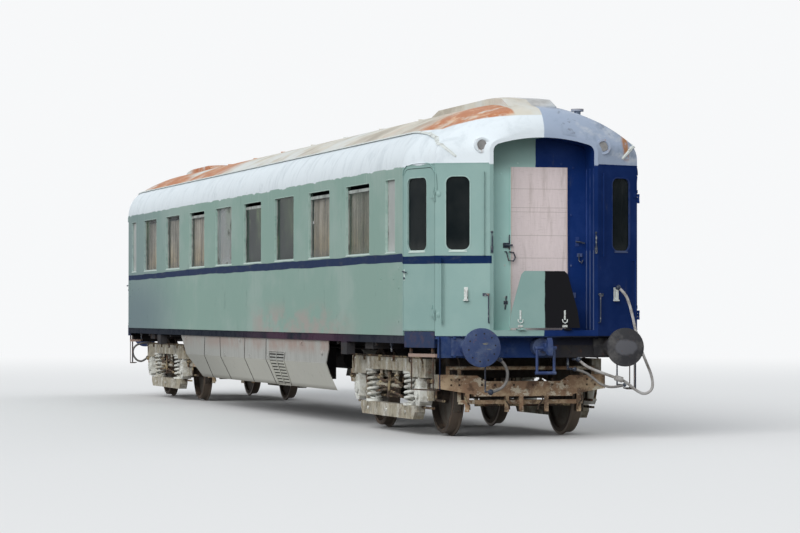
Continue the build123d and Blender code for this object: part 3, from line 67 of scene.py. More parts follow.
# Levels and outlines, read from the frame where a node gives them; FLANGE is the rail's top above z = 0
FLANGE = 0.03
roof_lo, roof_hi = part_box("roof")
wall_lo, wall_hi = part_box("side_wall_right")
HALF_W = roof_hi.y
EAVE = roof_lo.z
CROWN = roof_hi.z
PORTAL_X = roof_hi.x
SIDE_X = wall_hi.x
BODY_BOTTOM = wall_lo.z
CORNER_X, CORNER_Y = 10.13, 1.25
PORTAL_Y = 0.665
DOME_START = 9.1
PORTAL_CROWN = FLANGE + 3.56
NOSE_R = 0.33
SHOULDER_R = 0.5
NOSE_SHOULDER_R = 0.14
EAVE_LIFT, NOSE_LIFT = 0.004, 0.14
BULKHEAD_X = 10.07
HEADSTOCK_X = 10.18
BRIDGE_X = 10.425
WIN_PITCH = 2.06
WIN_N = 8
WIN_W = 1.2
WIN_X = [(k - (WIN_N - 1) / 2) * WIN_PITCH for k in range(WIN_N)]
SILL_H, HEAD_H = 2.19, 3.08
WIN_Z0, WIN_Z1 = FLANGE + SILL_H, FLANGE + HEAD_H
WIN_R = 0.04
SMALL_WIN_X, SMALL_WIN_W = 8.8, 0.46
WALL_T = 0.07
STRIPE_Z = FLANGE + 2.085
STRIPE_H = 0.088
BOGIE_X = 7.45
WHEELBASE = 2.9
AXLE_H = 0.5
AXLE_Z = FLANGE + AXLE_H
BUFFER_Y, BUFFER_Z = 0.875, FLANGE + 1.06
LAMP_Y, LAMP_Z = 0.745, FLANGE + 3.418
CROWN_HALF_W, CROWN_EDGE_Z = 1.056, 3.662
BUFFER_FACE_X = 10.7885
PLY_Y = 0.04
STEP_BOARD_Z0, STEP_BOARD_Z1 = FLANGE + 0.939, FLANGE + 0.979
SKIRT_KNEE_Z = FLANGE + 0.79
UNDERFRAME_EDGE_Z = FLANGE + 1.07


# Shader tree helpers

class Field:
    """One socket of a shader tree, so that Python sums on it become Math nodes."""

    def __init__(self, finish, socket):
        self.finish, self.socket = finish, socket

    def math(self, operation, *others):
        return self.finish.math(operation, self, *others)

    def __add__(self, other):
        return self.math("ADD", other)

    __radd__ = __add__

    def __sub__(self, other):
        return self.math("SUBTRACT", other)

    def __rsub__(self, other):
        return self.finish.math("SUBTRACT", other, self)

    def __mul__(self, other):
        return self.math("MULTIPLY", other)

    __rmul__ = __mul__

    def __truediv__(self, other):
        return self.math("DIVIDE", other)

    def __abs__(self):
        return self.math("ABSOLUTE")

    def __or__(self, other):
        """The larger of two masks."""
        return self.math("MAXIMUM", other)

    def power(self, exponent):
        return self.math("POWER", exponent)


class Finish:
    """A node material: position fields, noises, masks and one Principled shader."""

    def __init__(self, name):
        self.material = bpy.data.materials.new(name)
        self.material.use_nodes = True
        self.tree = self.material.node_tree
        self.tree.nodes.clear()
        self.shader = self.node("BsdfPrincipled")
        self.surface = self.node("OutputMaterial", inputs={"Surface": self.shader.outputs[0]})
        self.place = self.node("TexCoord").outputs["Object"]
        split = self.node("SeparateXYZ", inputs={0: self.place})
        self.x, self.y, self.z = (Field(self, s) for s in split.outputs)

    def node(self, kind, settings=None, inputs=None):
        """Adds a shader node, sets its properties, then its sockets, by value or by link."""
        made = self.tree.nodes.new("ShaderNode" + kind)
        for key, value in (settings or {}).items():
            setattr(made, key, value)
        for key, value in (inputs or {}).items():
            self.put(made.inputs[key], value)
        return made

    def put(self, socket, value):
        if isinstance(value, Field):
            value = value.socket
        if isinstance(value, bpy.types.NodeSocket):
            self.tree.links.new(value, socket)
        elif hasattr(value, "__len__") and len(value) == 3 and socket.type == "RGBA":
            socket.default_value = (*value, 1.0)
        else:
            socket.default_value = value

    def math(self, operation, *values):
        made = self.node("Math", {"operation": operation}, dict(enumerate(values)))
        return Field(self, made.outputs[0])

    def scaled(self, stretch, shift):
        """Object position times a stretch per axis, plus a shift."""
        made = self.node("VectorMath", {"operation": "MULTIPLY_ADD"}, {0: self.place, 1: stretch, 2: shift})
        return made.outputs[0]

    def noise(self, scale, detail=5.0, rough=0.7, stretch=(1, 1, 1), shift=(0, 0, 0), warp=0.0):
        made = self.node("TexNoise", inputs={"Vector": self.scaled(stretch, shift),
            "Scale": scale, "Detail": detail, "Roughness": rough, "Distortion": warp})
        return Field(self, made.outputs["Fac"])

    def spots(self, low, high, *noise, **more):
        """Patches where a noise passes from low to high."""
        return self.ease(self.noise(*noise, **more), low, high)

    def cells(self, scale, shift):
        """Distance to the nearest of scattered points."""
        place = self.scaled((1, 1, 1), shift)
        made = self.node("TexVoronoi", inputs={"Vector": place, "Scale": scale})
        return Field(self, made.outputs["Distance"])

    def ease(self, value, low, high):
        """0 below low, 1 above high, smooth between; falls where high is under low."""
        made = self.node("MapRange", {"interpolation_type": "SMOOTHSTEP"}, {"Value": value,
            "From Min": min(low, high), "From Max": max(low, high),
            "To Min": 0.0 if low < high else 1.0, "To Max": 1.0 if low < high else 0.0})
        return Field(self, made.outputs["Result"])

    def band(self, value, low, high, soft):
        """1 between low and high."""
        return self.ease(value, low - soft, low + soft) * self.ease(value, high + soft, high - soft)

    def mix(self, first, second, share):
        made = self.node("Mix", {"data_type": "RGBA"})
        self.put(made.inputs["Factor"], share)
        self.put(made.inputs[6], first)
        self.put(made.inputs[7], second)
        return made.outputs[2]

    def shade(self, colour, amount):
        """Multiplies a colour by a grey value or field."""
        grey = self.node("CombineXYZ", inputs={0: amount, 1: amount, 2: amount})
        made = self.node("VectorMath", {"operation": "MULTIPLY"}, {0: colour, 1: grey.outputs[0]})
        return made.outputs[0]

    def relief(self, height, distance):
        made = self.node("Bump", inputs={"Height": height, "Distance": distance, "Strength": 1.0})
        self.put(self.shader.inputs["Normal"], made.outputs[0])

    def set(self, colour, roughness, **sockets):
        """Principled sockets, the others by name with underscores for spaces."""
        for key, value in {"Base_Color": colour, "Roughness": roughness, **sockets}.items():
            self.put(self.shader.inputs[key.replace("_", " ")], value)

    def dull(self, level, share):
        """Mixes in, by a mask, a twin of the shader as it is now that differs in its specular level."""
        twin = self.node("BsdfPrincipled")
        for own, other in zip(self.shader.inputs, twin.inputs):
            if own.is_linked:
                self.put(other, own.links[0].from_socket)
            else:
                other.default_value = own.default_value
        self.put(twin.inputs["Specular IOR Level"], level)
        mixed = self.node("MixShader", inputs={0: share, 1: self.shader.outputs[0], 2: twin.outputs[0]})
        self.put(self.surface.inputs["Surface"], mixed.outputs[0])


FINISHES = {}


def finish(make):
    """Makes the material that a function fills, under the function's name."""
    made = Finish(make.__name__)
    make(made)
    FINISHES[make.__name__] = made.material
    return make


# Colours, linear
GREEN_FRESH = (0.222, 0.352, 0.33)
GREEN_SIDE = (0.228, 0.352, 0.305)
GREEN_FAR = (0.11, 0.18, 0.2)
GREEN_PINK = (0.38, 0.3, 0.28)
NAVY = (0.005, 0.02, 0.098)
NAVY_STRIPE = (0.006, 0.022, 0.076)
WHITE_ROOF = (0.7, 0.76, 0.8)
BEIGE_ROOF = (0.59, 0.56, 0.485)
ORANGE_RUST = (0.455, 0.18, 0.082)
GREY_ROOF = (0.33, 0.395, 0.51)
BLACK_PAINT = (0.012, 0.012, 0.014)
RUST = (0.13, 0.052, 0.022)
RUST_LIGHT = (0.3, 0.13, 0.06)
BOGIE_BEIGE = (0.4, 0.37, 0.29)
DIRT = (0.06, 0.05, 0.04)


def roof_colour(f):
    """Roof paint by place: white right side, beige crown, rust near the ends, grey-blue left side."""
    brush = f.noise(2.6, 6.0, 0.68, (1.7, 0.9, 0.9), warp=0.8)
    blot = f.noise(1.3, 5.0, 0.65)
    fine = f.noise(14.0, 3.0, 0.6)
    white = f.mix(WHITE_ROOF, (0.52, 0.58, 0.62), f.ease(brush, 0.46, 0.7) * 0.6)
    soot = f.spots(0.6, 0.78, 2.2, 6.0, 0.7, (2.0, 1, 0.6), (7, 1, 3))
    white = f.mix(white, (0.42, 0.43, 0.42), soot * 0.5)
    beige = f.mix(BEIGE_ROOF, (0.4, 0.36, 0.3), f.ease(blot, 0.42, 0.68))
    beige = f.mix(beige, (0.62, 0.64, 0.62), f.spots(0.48, 0.62, 0.9, 4.0, 0.6, (0.5, 1, 1), (3, 8, 1)))
    rust = f.mix(ORANGE_RUST, (0.62, 0.4, 0.26), f.spots(0.48, 0.66, 5.0))
    rust = f.mix(rust, (0.3, 0.1, 0.05), f.spots(0.58, 0.72, 3.1, 5.0, 0.75, shift=(2, 5, 1)) * 0.7)
    wave = (f.noise(1.7, 3.0, 0.6, shift=(1, 2, 9)) - 0.5) * 0.03
    share = f.math("MINIMUM", abs(f.y) / CROWN_HALF_W, 1.0)
    limit = CROWN_EDGE_Z + (1 - share.power(3.0)) * 0.15 + wave
    crown = f.ease(f.z - limit, -0.005, 0.008)
    near_end = f.ease(f.x, 8.9, 9.5) * f.ease(f.x + wave * 3, 10.28, 10.2) * f.ease(abs(f.y), 0.3, 0.33)
    tinted = f.ease(f.x, 5.6, 8.8) * f.spots(0.46, 0.6, 1.1, 4.0, 0.6, shift=(2, 2, 7))
    near_end = near_end | (tinted * f.ease(abs(f.y), 0.28, 0.5) * 0.35)
    far_end = f.ease(f.x, -1.6, -3.4) * f.ease(f.x, -9.6, -8.9)
    patches = f.spots(0.34, 0.46, 0.8, 5.0, 0.62, (0.6, 1, 1), (5, 5, 5))
    rusty = near_end | (far_end * patches)
    top = f.mix(beige, rust, rusty * f.spots(0.28, 0.46, 2.4, 4.0, 0.7, shift=(9, 1, 4)))
    right = f.mix(white, top, crown)
    grey = f.mix(GREY_ROOF, (0.17, 0.21, 0.28), f.ease(blot, 0.44, 0.62) * 0.8)
    grey = f.mix(grey, (0.48, 0.52, 0.58), f.spots(0.52, 0.68, 2.6, 5.0, 0.7, (1, 1, 1.6), (4, 4, 4)) * 0.8)
    grey = f.mix(grey, (0.13, 0.14, 0.16), f.spots(0.62, 0.7, 7.0, 4.0, 0.7, shift=(1, 7, 2)) * 0.6)
    run = f.band(f.y, 1.045, 1.125, 0.02) * f.band(f.x, 10.1, 10.22, 0.02) * f.ease(f.z, 3.27, 3.34)
    grey = f.mix(grey, (0.36, 0.17, 0.08), run * f.ease(fine, 0.34, 0.5))
    split = f.ease(f.y + (f.noise(6.0, 2.0, 0.55) - 0.5) * 0.02, -0.004, 0.004)
    left = f.mix(grey, f.mix(beige, rust, rusty * 0.35), f.ease(f.z, 3.9, 3.97) * 0.6)
    colour = f.mix(right, left, split)
    speck = f.ease(f.cells(22.0, (0, 0, 3)), 0.1, 0.04) * f.ease(fine, 0.5, 0.62)
    return f.mix(colour, (0.33, 0.24, 0.17), speck * 0.5), brush, blot


def livery_colour(f):
    """Body paint by place: green on the right half, navy on the left, with the waist stripe, and painted
    light on the bulkhead in the portal.
    """
    streak = f.noise(5.0, 4.0, 0.6, (6, 6, 0.25))
    cloud = f.noise(0.55, 4.0, 0.6, (1, 1, 1.5), (2, 0, 0))
    green = f.mix(GREEN_SIDE, (0.285, 0.39, 0.35), f.ease(cloud, 0.42, 0.62))
    green = f.mix(green, (0.215, 0.345, 0.3), f.ease(streak, 0.45, 0.7) * 0.55)
    far = f.ease(f.x, -3.5, -9.0)
    green = f.mix(green, GREEN_FAR, far * f.ease(f.z, 2.35, 1.5))
    green = f.mix(green, (0.155, 0.215, 0.23), far * 0.62)
    pink = f.ease(f.x, 0.3, 2.0) * f.ease(f.x, 7.8, 5.0) * f.ease(f.z, 1.72, 1.36)
    green = f.mix(green, GREEN_PINK, pink * f.spots(0.38, 0.62, 1.8, 5.0, 0.65, (0.8, 1, 2)) * 0.75)
    plum = f.ease(f.x, 8.0, 9.3) * f.ease(f.z, 1.5, 1.26)
    green = f.mix(green, (0.3, 0.31, 0.32), plum * 0.35)
    fresh = f.ease(f.x, 9.33, 9.39)
    new = f.mix(GREEN_FRESH, (0.245, 0.375, 0.35), f.spots(0.4, 0.65, 1.6, 4.0, 0.6))
    green = f.mix(green, new, fresh)
    grime = f.spots(0.58, 0.78, 3.0, 6.0, 0.75, (1, 1, 0.5), (3, 3, 3))
    green = f.mix(green, (0.12, 0.15, 0.13), grime * (0.42 - fresh * 0.3))
    under = f.noise(9.0, 3.0, 0.7, (2.2, 2.2, 0.06), (0, 0, 5))
    drip = f.ease(under, 0.6, 0.74) * f.ease(f.z, EAVE - 0.75, EAVE - 0.02)
    green = f.mix(green, (0.42, 0.5, 0.48), drip * (0.5 - fresh * 0.35))
    navy = f.mix(NAVY, (0.011, 0.03, 0.125), f.spots(0.42, 0.68, 1.4))
    scuff = f.spots(0.6, 0.76, 6.0, 6.0, 0.75, (1, 1, 0.4), (5, 1, 1))
    navy = f.mix(navy, (0.04, 0.052, 0.085), scuff * 0.6)
    wobble = (f.noise(0.75, 2.0, 0.5, (1, 0, 0), (4, 0, 0)) - 0.5) * 0.05
    raised = (1 - fresh) * f.ease(f.x, -9.0, -2.0)
    low = f.z - (STRIPE_Z - STRIPE_H / 2 + wobble + raised * 0.024)
    crest = (f.noise(1.1, 2.0, 0.5, (1, 0, 0), (9, 0, 0)) - 0.5) * 0.036 + raised * 0.038
    high = f.z - (STRIPE_Z + STRIPE_H / 2 + crest)
    stripe = f.ease(low, -0.003, 0.003) * f.ease(high, 0.003, -0.003)
    aside = f.ease(abs(f.y), PORTAL_Y - 0.03, PORTAL_Y - 0.02)
    outside = f.ease(f.x, PORTAL_X - 0.01, PORTAL_X - 0.012) | aside
    portal = f.ease(abs(f.x), BULKHEAD_X - 0.06, BULKHEAD_X - 0.05)
    portal = portal * f.ease(abs(f.y), PORTAL_Y - 0.035, PORTAL_Y - 0.045)
    stripe = stripe * (1 - portal) * outside
    stripe_paint = f.mix(NAVY_STRIPE, (0.034, 0.046, 0.08), f.spots(0.5, 0.7, 4.0, 5.0, 0.7, (1, 1, 3)))
    green = f.mix(green, stripe_paint, stripe)
    plate = f.ease(abs(f.x), PORTAL_X + 0.006, PORTAL_X + 0.012)
    navy = f.mix(navy, f.mix(BLACK_PAINT, (0.03, 0.028, 0.03), grime), plate)
    seam = (f.noise(4.0, 3.0, 0.6, (0, 0, 1), (0, 0, 2)) - 0.5) * 0.03
    left = f.ease(f.y - seam * f.ease(f.x, 0.0, 0.1), -0.004, 0.004)
    colour = f.mix(green, navy, left)
    ragged = f.noise(9.0, 4.0, 0.7, (1, 1, 0), (1, 4, 0)) * 0.05 + f.noise(1.2, 2.0, 0.5, (1, 1, 0)) * 0.03
    ragged = ragged + f.noise(3.2, 3.0, 0.6, (1, 1, 0), (5, 0, 0)) * 0.11 - 0.062
    rim = f.ease(f.z - EAVE + ragged, 0.028, 0.031) * f.ease(abs(f.x), SIDE_X + 0.6, SIDE_X + 0.5)
    rim = rim | f.ease(abs(f.x), PORTAL_X - 0.0015, PORTAL_X - 0.0005) * f.ease(f.z, EAVE - 0.02, EAVE)
    # Painted light: the recessed bulkhead in the portal is drawn up to 1.88 times lighter in green and 1.32
    # in navy, less so towards the arch.
    bulkhead_painted_light = f.ease(abs(f.x), 10.34, 10.1) * portal
    colour = f.shade(colour, bulkhead_painted_light * (0.88 - left * 0.56) * f.ease(f.z, EAVE + 0.06, EAVE - 0.15) + 1.0)
    below = f.ease(f.z, BODY_BOTTOM - 0.004, BODY_BOTTOM - 0.01)
    colour = f.mix(colour, (0.006, 0.012, 0.036), below)
    ring = f.mix(WHITE_ROOF, GREY_ROOF, left)
    return f.mix(colour, ring, rim), fresh, grime, left | stripe | below


@finish
def body_paint(f):
    colour, fresh, grime, left = livery_colour(f)
    ripple = f.noise(1.1, 2.0, 0.5, (1, 1, 0.8)) * 0.03 + f.noise(9.0, 3.0, 0.6) * 0.002
    brush = f.noise(30.0, 2.0, 0.5, (1, 1, 6)) * 0.0004
    f.relief(ripple + brush, 0.35)
    f.set(colour, 0.56 - fresh * 0.1 - left * 0.1 + grime * 0.2, Specular_IOR_Level=0.34)
    f.dull(0.04, left)


@finish
def surround_paint(f):
    """Body paint drawn 12 percent lighter as painted light, paler along the sills, with pale worn spots."""
    colour, fresh, grime, left = livery_colour(f)
    sill = f.ease(f.z, WIN_Z0 + 0.012, WIN_Z0 + 0.004)
    pale = f.mix((0.56, 0.66, 0.62), (0.3, 0.34, 0.4), left)
    worn = f.spots(0.62, 0.5, 11.0)
    # Painted light: the body colour times 1.12 on the surrounds and bulkhead fittings.
    shaded = f.mix(f.shade(colour, 1.12), pale, (sill * 0.9 | (worn * 0.25)) * (1 - left * 0.75))
    f.set(shaded, 0.5, Specular_IOR_Level=0.36)
    f.dull(0.04, left)


@finish
def worn_steel(f):
    """Blue-black fittings with chipped pale paint and rust."""
    chip = f.spots(0.52, 0.62, 16.0, 6.0, 0.75)
    rust = f.spots(0.56, 0.66, 11.0, 6.0, 0.75, shift=(3, 1, 5))
    base = f.mix((0.02, 0.03, 0.055), (0.34, 0.36, 0.36), chip * 0.75)
    f.relief(chip, 0.001)
    f.set(f.mix(base, RUST_LIGHT, rust * 0.6), 0.55)


@finish
def roof_paint(f):
    colour, brush, blot = roof_colour(f)
    f.relief(brush * 0.01 + f.noise(12.0) * 0.004, 0.5)
    f.set(colour, 0.62 + f.ease(blot, 0.4, 0.7) * 0.2, Specular_IOR_Level=0.35)


@finish
def glass(f):
    """Dusty panes; those in the ends and doors near black and nearly opaque, painted shade of the dark rooms
    behind them.
    The two small side windows are frosted white. Painted reflections: the windows at x 0.3 to 3.8 mirror dark
    trees, the one before them a pale sky, and those of the right side leaves, most of all the last one."""
    # Painted shade: the panes of the ends and doors are near black and nearly opaque, for the dark rooms
    # behind them.
    ends = f.ease(abs(f.x), SIDE_X - 0.01, SIDE_X + 0.01)
    frosted = f.band(abs(f.x), SMALL_WIN_X - 0.3, SMALL_WIN_X + 0.3, 0.01)
    dust = f.spots(0.36, 0.68, 1.6, 5.0, 0.65, (1, 1, 0.8))
    smear = f.spots(0.5, 0.75, 7.0, 4.0, 0.7, (1, 1, 0.3), (3, 1, 1))
    low = f.ease(f.z, WIN_Z0 + 0.16, WIN_Z0 - 0.02)
    film = (dust * 0.2 + smear * 0.08 + low * 0.25) * (1 - ends * 0.8)
    colour = f.mix(f.mix((0.03, 0.04, 0.042), (0.005, 0.009, 0.011), ends), (0.34, 0.34, 0.31), film)
    # Painted reflections: dark trees in the windows at x 0.3 to 3.8, a pale sky in the one before them,
    # leaves on the right side; they also add to the veil, which makes the glass more opaque.
    tree_reflection = f.band(f.x, 0.3, 3.8, 0.02)
    sky = f.band(f.x, -1.7, -0.4, 0.02) * f.spots(0.46, 0.52, 0.9, 3.0, 0.6, (1, 1, 1.4), (5, 0, 0))
    branch = f.spots(0.52, 0.66, 3.0, 6.0, 0.75, (1, 1, 0.5), (4, 0, 2))
    trees = f.mix((0.01, 0.016, 0.014), (0.06, 0.085, 0.045), branch)
    colour = f.mix(f.mix(colour, trees, tree_reflection), (0.5, 0.54, 0.55), sky * 0.55)
    leaf_reflection = f.spots(0.5, 0.6, 0.35, 2.0, 0.5, (1, 1, 0.5), (3.3, 0, 1)) * f.ease(f.z, WIN_Z0, WIN_Z1)
    leaf_reflection = (leaf_reflection | (f.band(f.x, 5.9, 7.7, 0.02) * (0.4 + branch * 0.6))) * f.ease(f.y, 0.01, -0.01)
    colour = f.mix(colour, (0.1, 0.16, 0.06), leaf_reflection * 0.5 * (1 - ends))
    colour = f.mix(colour, (0.42, 0.44, 0.43), frosted)
    veil = film * 0.8 + leaf_reflection * 0.24 + tree_reflection * 0.7 + sky * 0.3
    f.set(colour, 0.07 + film * 0.5 + frosted * 0.3, Alpha=0.16 + veil + ends * 0.66 + frosted * 0.66,
        Specular_IOR_Level=0.11)
    f.dull(0.05, ends | tree_reflection)


@finish
def sash_metal(f):
    wear = f.spots(0.42, 0.7, 9.0, 5.0, 0.7, (1, 1, 0.5))
    f.set(f.mix((0.42, 0.46, 0.43), (0.16, 0.17, 0.16), wear), 0.45 + wear * 0.3, Metallic=0.25)
    f.relief(wear * 0.001, 1.0)


@finish
def curtain_cloth(f):
    weave = f.noise(260.0, 1.0, 0.5, (1, 1, 0.35)) * 0.4 + f.noise(240.0, 1.0, 0.5, (0.35, 1, 1)) * 0.4
    stain = f.spots(0.4, 0.66, 1.6, 5.0, 0.65, (1, 1, 0.6))
    fade = f.ease(f.z, WIN_Z0, WIN_Z0 + 0.6)
    cloth = f.mix((0.7, 0.57, 0.36), (0.58, 0.545, 0.47), fade)
    cloth = f.mix(cloth, (0.3, 0.25, 0.18), stain * 0.55)
    streak = f.spots(0.4, 0.62, 16.0, 3.0, 0.6, (1, 1, 0.04), (2, 0, 0))
    cloth = f.mix(cloth, (0.17, 0.15, 0.11), streak * 0.65)
    f.relief(weave, 0.0006)
    f.set(cloth, 0.9, Sheen_Weight=0.25)


@finish
def seat_fabric(f):
    rib = f.noise(180.0, 1.0, 0.5, (1, 0.2, 1))
    wear = f.spots(0.45, 0.7, 2.5, 4.0, 0.6)
    f.relief(rib, 0.001)
    f.set(f.mix((0.05, 0.085, 0.07), (0.12, 0.14, 0.11), wear), 0.92, Sheen_Weight=0.3)


@finish
def lining_wood(f):
    grain = f.noise(6.0, 6.0, 0.7, (8, 8, 0.6), warp=0.6)
    f.relief(grain * 0.002, 0.6)
    f.set(f.mix((0.22, 0.115, 0.05), (0.1, 0.045, 0.018), grain), 0.38, Coat_Weight=0.3)


@finish
def floor_wood(f):
    worn = f.spots(0.42, 0.68, 1.8)
    f.relief(f.noise(20.0, 4.0, 0.7) * 0.002, 0.6)
    f.set(f.mix((0.085, 0.045, 0.03), (0.16, 0.13, 0.1), worn), 0.6 + worn * 0.25)


@finish
def plywood(f):
    grain = f.noise(7.0, 7.0, 0.72, (1, 5.0, 0.7), warp=1.2)
    cross = f.noise(10.0, 5.0, 0.7, (1, 0.8, 9.0), (2, 0, 0))
    rain = f.spots(0.5, 0.74, 4.0, 5.0, 0.7, (1, 2.4, 0.25), (1, 3, 0))
    base = f.mix((0.8, 0.7, 0.7), (0.58, 0.495, 0.49), grain)
    for height in (2.108, 2.374, 2.652, 2.702, 2.924):
        z = FLANGE + height
        joint = f.band(f.z + grain * 0.006, z, z + 0.004, 0.003)
        base = f.mix(base, (0.26, 0.21, 0.19), joint * 0.8)
    base = f.mix(base, (0.4, 0.33, 0.31), f.ease(cross, 0.56, 0.72) * 0.45)
    base = f.mix(base, (0.34, 0.28, 0.25), rain * 0.5)
    edge = f.ease(abs(f.y - PLY_Y), 0.325, 0.352)
    base = f.mix(base, (0.5, 0.36, 0.26), edge * 0.5)
    f.relief(grain * 0.004 + cross * 0.002, 0.6)
    f.set(base, 0.86)


def ground_in_dirt(f, colour, amount=0.5):
    """Dirt and rust that settle in patches; also gives the dirt's mask."""
    patch = f.spots(0.46, 0.66, 4.5, 7.0, 0.75)
    rusty = f.spots(0.55, 0.68, 7.0, 6.0, 0.75, (1, 1, 0.7), (4, 2, 8))
    out = f.mix(colour, DIRT, patch * amount)
    return f.mix(out, RUST, rusty * amount), patch


@finish
def bogie_paint(f):
    streak = f.spots(0.42, 0.68, 6.0, 5.0, 0.7, (5, 5, 0.5), (1, 1, 1))
    base = f.mix(BOGIE_BEIGE, (0.56, 0.55, 0.49), f.spots(0.45, 0.62, 3.0))
    base = f.mix(base, (0.24, 0.18, 0.1), streak * 0.55)
    base, patch = ground_in_dirt(f, base, 0.62)
    flake = f.spots(0.58, 0.64, 16.0, 6.0, 0.8, shift=(1, 9, 4))
    base = f.mix(base, RUST_LIGHT, flake * 0.5)
    # Painted shade: faces inboard of the side frames are drawn near black, the shadow under the coach, with
    # rust flakes.
    inside = f.ease(abs(f.y), 0.985, 0.955)
    base = f.mix(base, f.mix((0.028, 0.02, 0.015), RUST, flake * 0.7), inside * 0.93)
    end = f.ease(abs(abs(f.x) - BOGIE_X), 2.02, 2.05)
    brown = f.mix((0.31, 0.19, 0.115), (0.52, 0.39, 0.25), f.spots(0.42, 0.62, 4.0, 6.0, 0.75))
    pale = f.spots(0.53, 0.59, 3.6, 6.0, 0.75, (1, 1, 1.4), (8, 2, 2))
    burnt = f.spots(0.52, 0.62, 5.0, shift=(3, 3, 8))
    brown = f.mix(brown, (0.085, 0.048, 0.032), burnt * 0.75)
    base = f.mix(base, f.mix(brown, (0.68, 0.63, 0.5), pale * 0.8), end)
    f.relief(patch * 0.3 + flake * 0.5 + f.noise(40.0, 4.0, 0.7) * 0.2, 0.004)
    f.set(base, 0.78 + patch * 0.15)


@finish
def under_iron(f):
    """Rods and brackets of the bogies: greasy brown with ochre and cream scraps of paint."""
    scrap = f.spots(0.5, 0.58, 6.0, 6.0, 0.75, shift=(6, 1, 2))
    base = f.mix((0.06, 0.042, 0.03), (0.42, 0.34, 0.2), scrap * 0.8)
    rust = f.spots(0.5, 0.6, 9.0, 6.0, 0.75, shift=(1, 8, 2))
    f.relief(f.noise(30.0, 5.0, 0.75), 0.003)
    f.set(f.mix(base, RUST, rust * 0.6), 0.85)


@finish
def axlebox_paint(f):
    base = f.mix((0.66, 0.67, 0.63), (0.46, 0.44, 0.37), f.spots(0.45, 0.65, 5.0, 6.0, 0.7))
    f.relief(f.noise(25.0, 5.0, 0.75), 0.003)
    f.set(ground_in_dirt(f, base)[0], 0.75)


@finish
def wheel_steel(f):
    """Dark tyre, bright worn tread, and a dusty pale web, by the distance from the nearest axle."""
    along = abs(abs(f.x) - BOGIE_X) - WHEELBASE / 2
    reach = (along * along + (f.z - AXLE_Z) * (f.z - AXLE_Z)).power(0.5)
    grease = f.spots(0.42, 0.66, 5.0, 6.0, 0.75)
    base = f.mix((0.05, 0.04, 0.033), (0.115, 0.078, 0.052), grease)
    web = f.band(reach, 0.14, 0.405, 0.02) * f.ease(abs(f.y), 0.6, 0.64)
    base = f.mix(base, f.mix((0.16, 0.15, 0.13), (0.08, 0.06, 0.045), grease), web * 0.7)
    tread = f.ease(reach, 0.49, 0.496)
    base = f.mix(base, (0.27, 0.22, 0.18), tread * 0.8)
    f.relief(f.noise(30.0, 5.0, 0.75), 0.002)
    f.set(base, 0.72 - tread * 0.3, Metallic=0.2 + tread * 0.6)


@finish
def underframe_black(f):
    """Black underframe; its outer edge shows as the navy to plum line under the side panels."""
    base, patch = ground_in_dirt(f, (0.034, 0.033, 0.037))
    level = (UNDERFRAME_EDGE_Z, UNDERFRAME_EDGE_Z + 0.02)
    line = f.ease(abs(f.y), HALF_W - 0.1, HALF_W - 0.06) * f.ease(f.z, *level)
    line = line | (f.ease(abs(f.x), SIDE_X - 0.01, SIDE_X) * f.ease(f.z, *level))
    plum = f.ease(f.x, -1.0, 3.0) * f.spots(0.3, 0.5, 1.2, 4.0, 0.6, shift=(3, 0, 0))
    edge = f.mix((0.004, 0.009, 0.02), (0.05, 0.02, 0.042), plum * f.ease(f.x, 7.5, 5.5))
    edge = f.mix(edge, (0.03, 0.03, 0.045), f.ease(f.x, 6.5, 9.0) * 0.6)
    blue = f.ease(f.x, SIDE_X, SIDE_X + 0.05) * f.ease(f.y, 0.3, 0.02)
    head = f.mix((0.012, 0.034, 0.125), (0.04, 0.066, 0.15), f.spots(0.42, 0.66, 3.0))
    scar = f.spots(0.6, 0.68, 8.0, 6.0, 0.75, shift=(2, 2, 2))
    head = f.mix(head, (0.1, 0.085, 0.075), scar * 0.6)
    base = f.mix(f.mix(base, edge, line), head, blue)
    f.relief(patch * 0.4 + f.noise(30.0, 4.0, 0.7) * 0.3, 0.003)
    f.set(base, 0.62 + patch * 0.2, Specular_IOR_Level=0.12)


@finish
def fittings_two_tone(f):
    """Buffers and draw gear: blue on the right half, black with worn grey on the left."""
    blue = f.mix((0.016, 0.038, 0.13), (0.075, 0.105, 0.19), f.spots(0.44, 0.68, 5.0, 6.0, 0.72))
    black = f.mix((0.022, 0.022, 0.026), (0.075, 0.072, 0.072), f.spots(0.44, 0.68, 5.0, 6.0, 0.72))
    face = f.ease(abs(f.x), 10.77, 10.782)
    across = (abs(f.y) - BUFFER_Y) * (abs(f.y) - BUFFER_Y) + (f.z - BUFFER_Z) * (f.z - BUFFER_Z) * 2.2
    wear = face * f.ease(across + (f.noise(9.0) - 0.5) * 0.024, 0.024, 0.012)
    black = f.mix(black, (0.085, 0.086, 0.098), wear)
    smear = face * f.spots(0.55, 0.66, 9.0, 4.0, 0.7, (1, 0.6, 2.4))
    smear = smear * f.ease(across, 0.016, 0.004)
    blue = f.mix(blue, (0.3, 0.27, 0.12), smear * 0.8)
    blue = f.mix(blue, (0.028, 0.05, 0.12), face * 0.35)
    base = f.mix(blue, black, f.ease(f.y, 0.3, 0.34))
    rust = f.spots(0.6, 0.68, 13.0, 6.0, 0.78, shift=(7, 7, 7))
    base = f.mix(base, RUST, rust * 0.45)
    f.relief(f.noise(35.0, 4.0, 0.7), 0.002)
    f.set(base, 0.55)


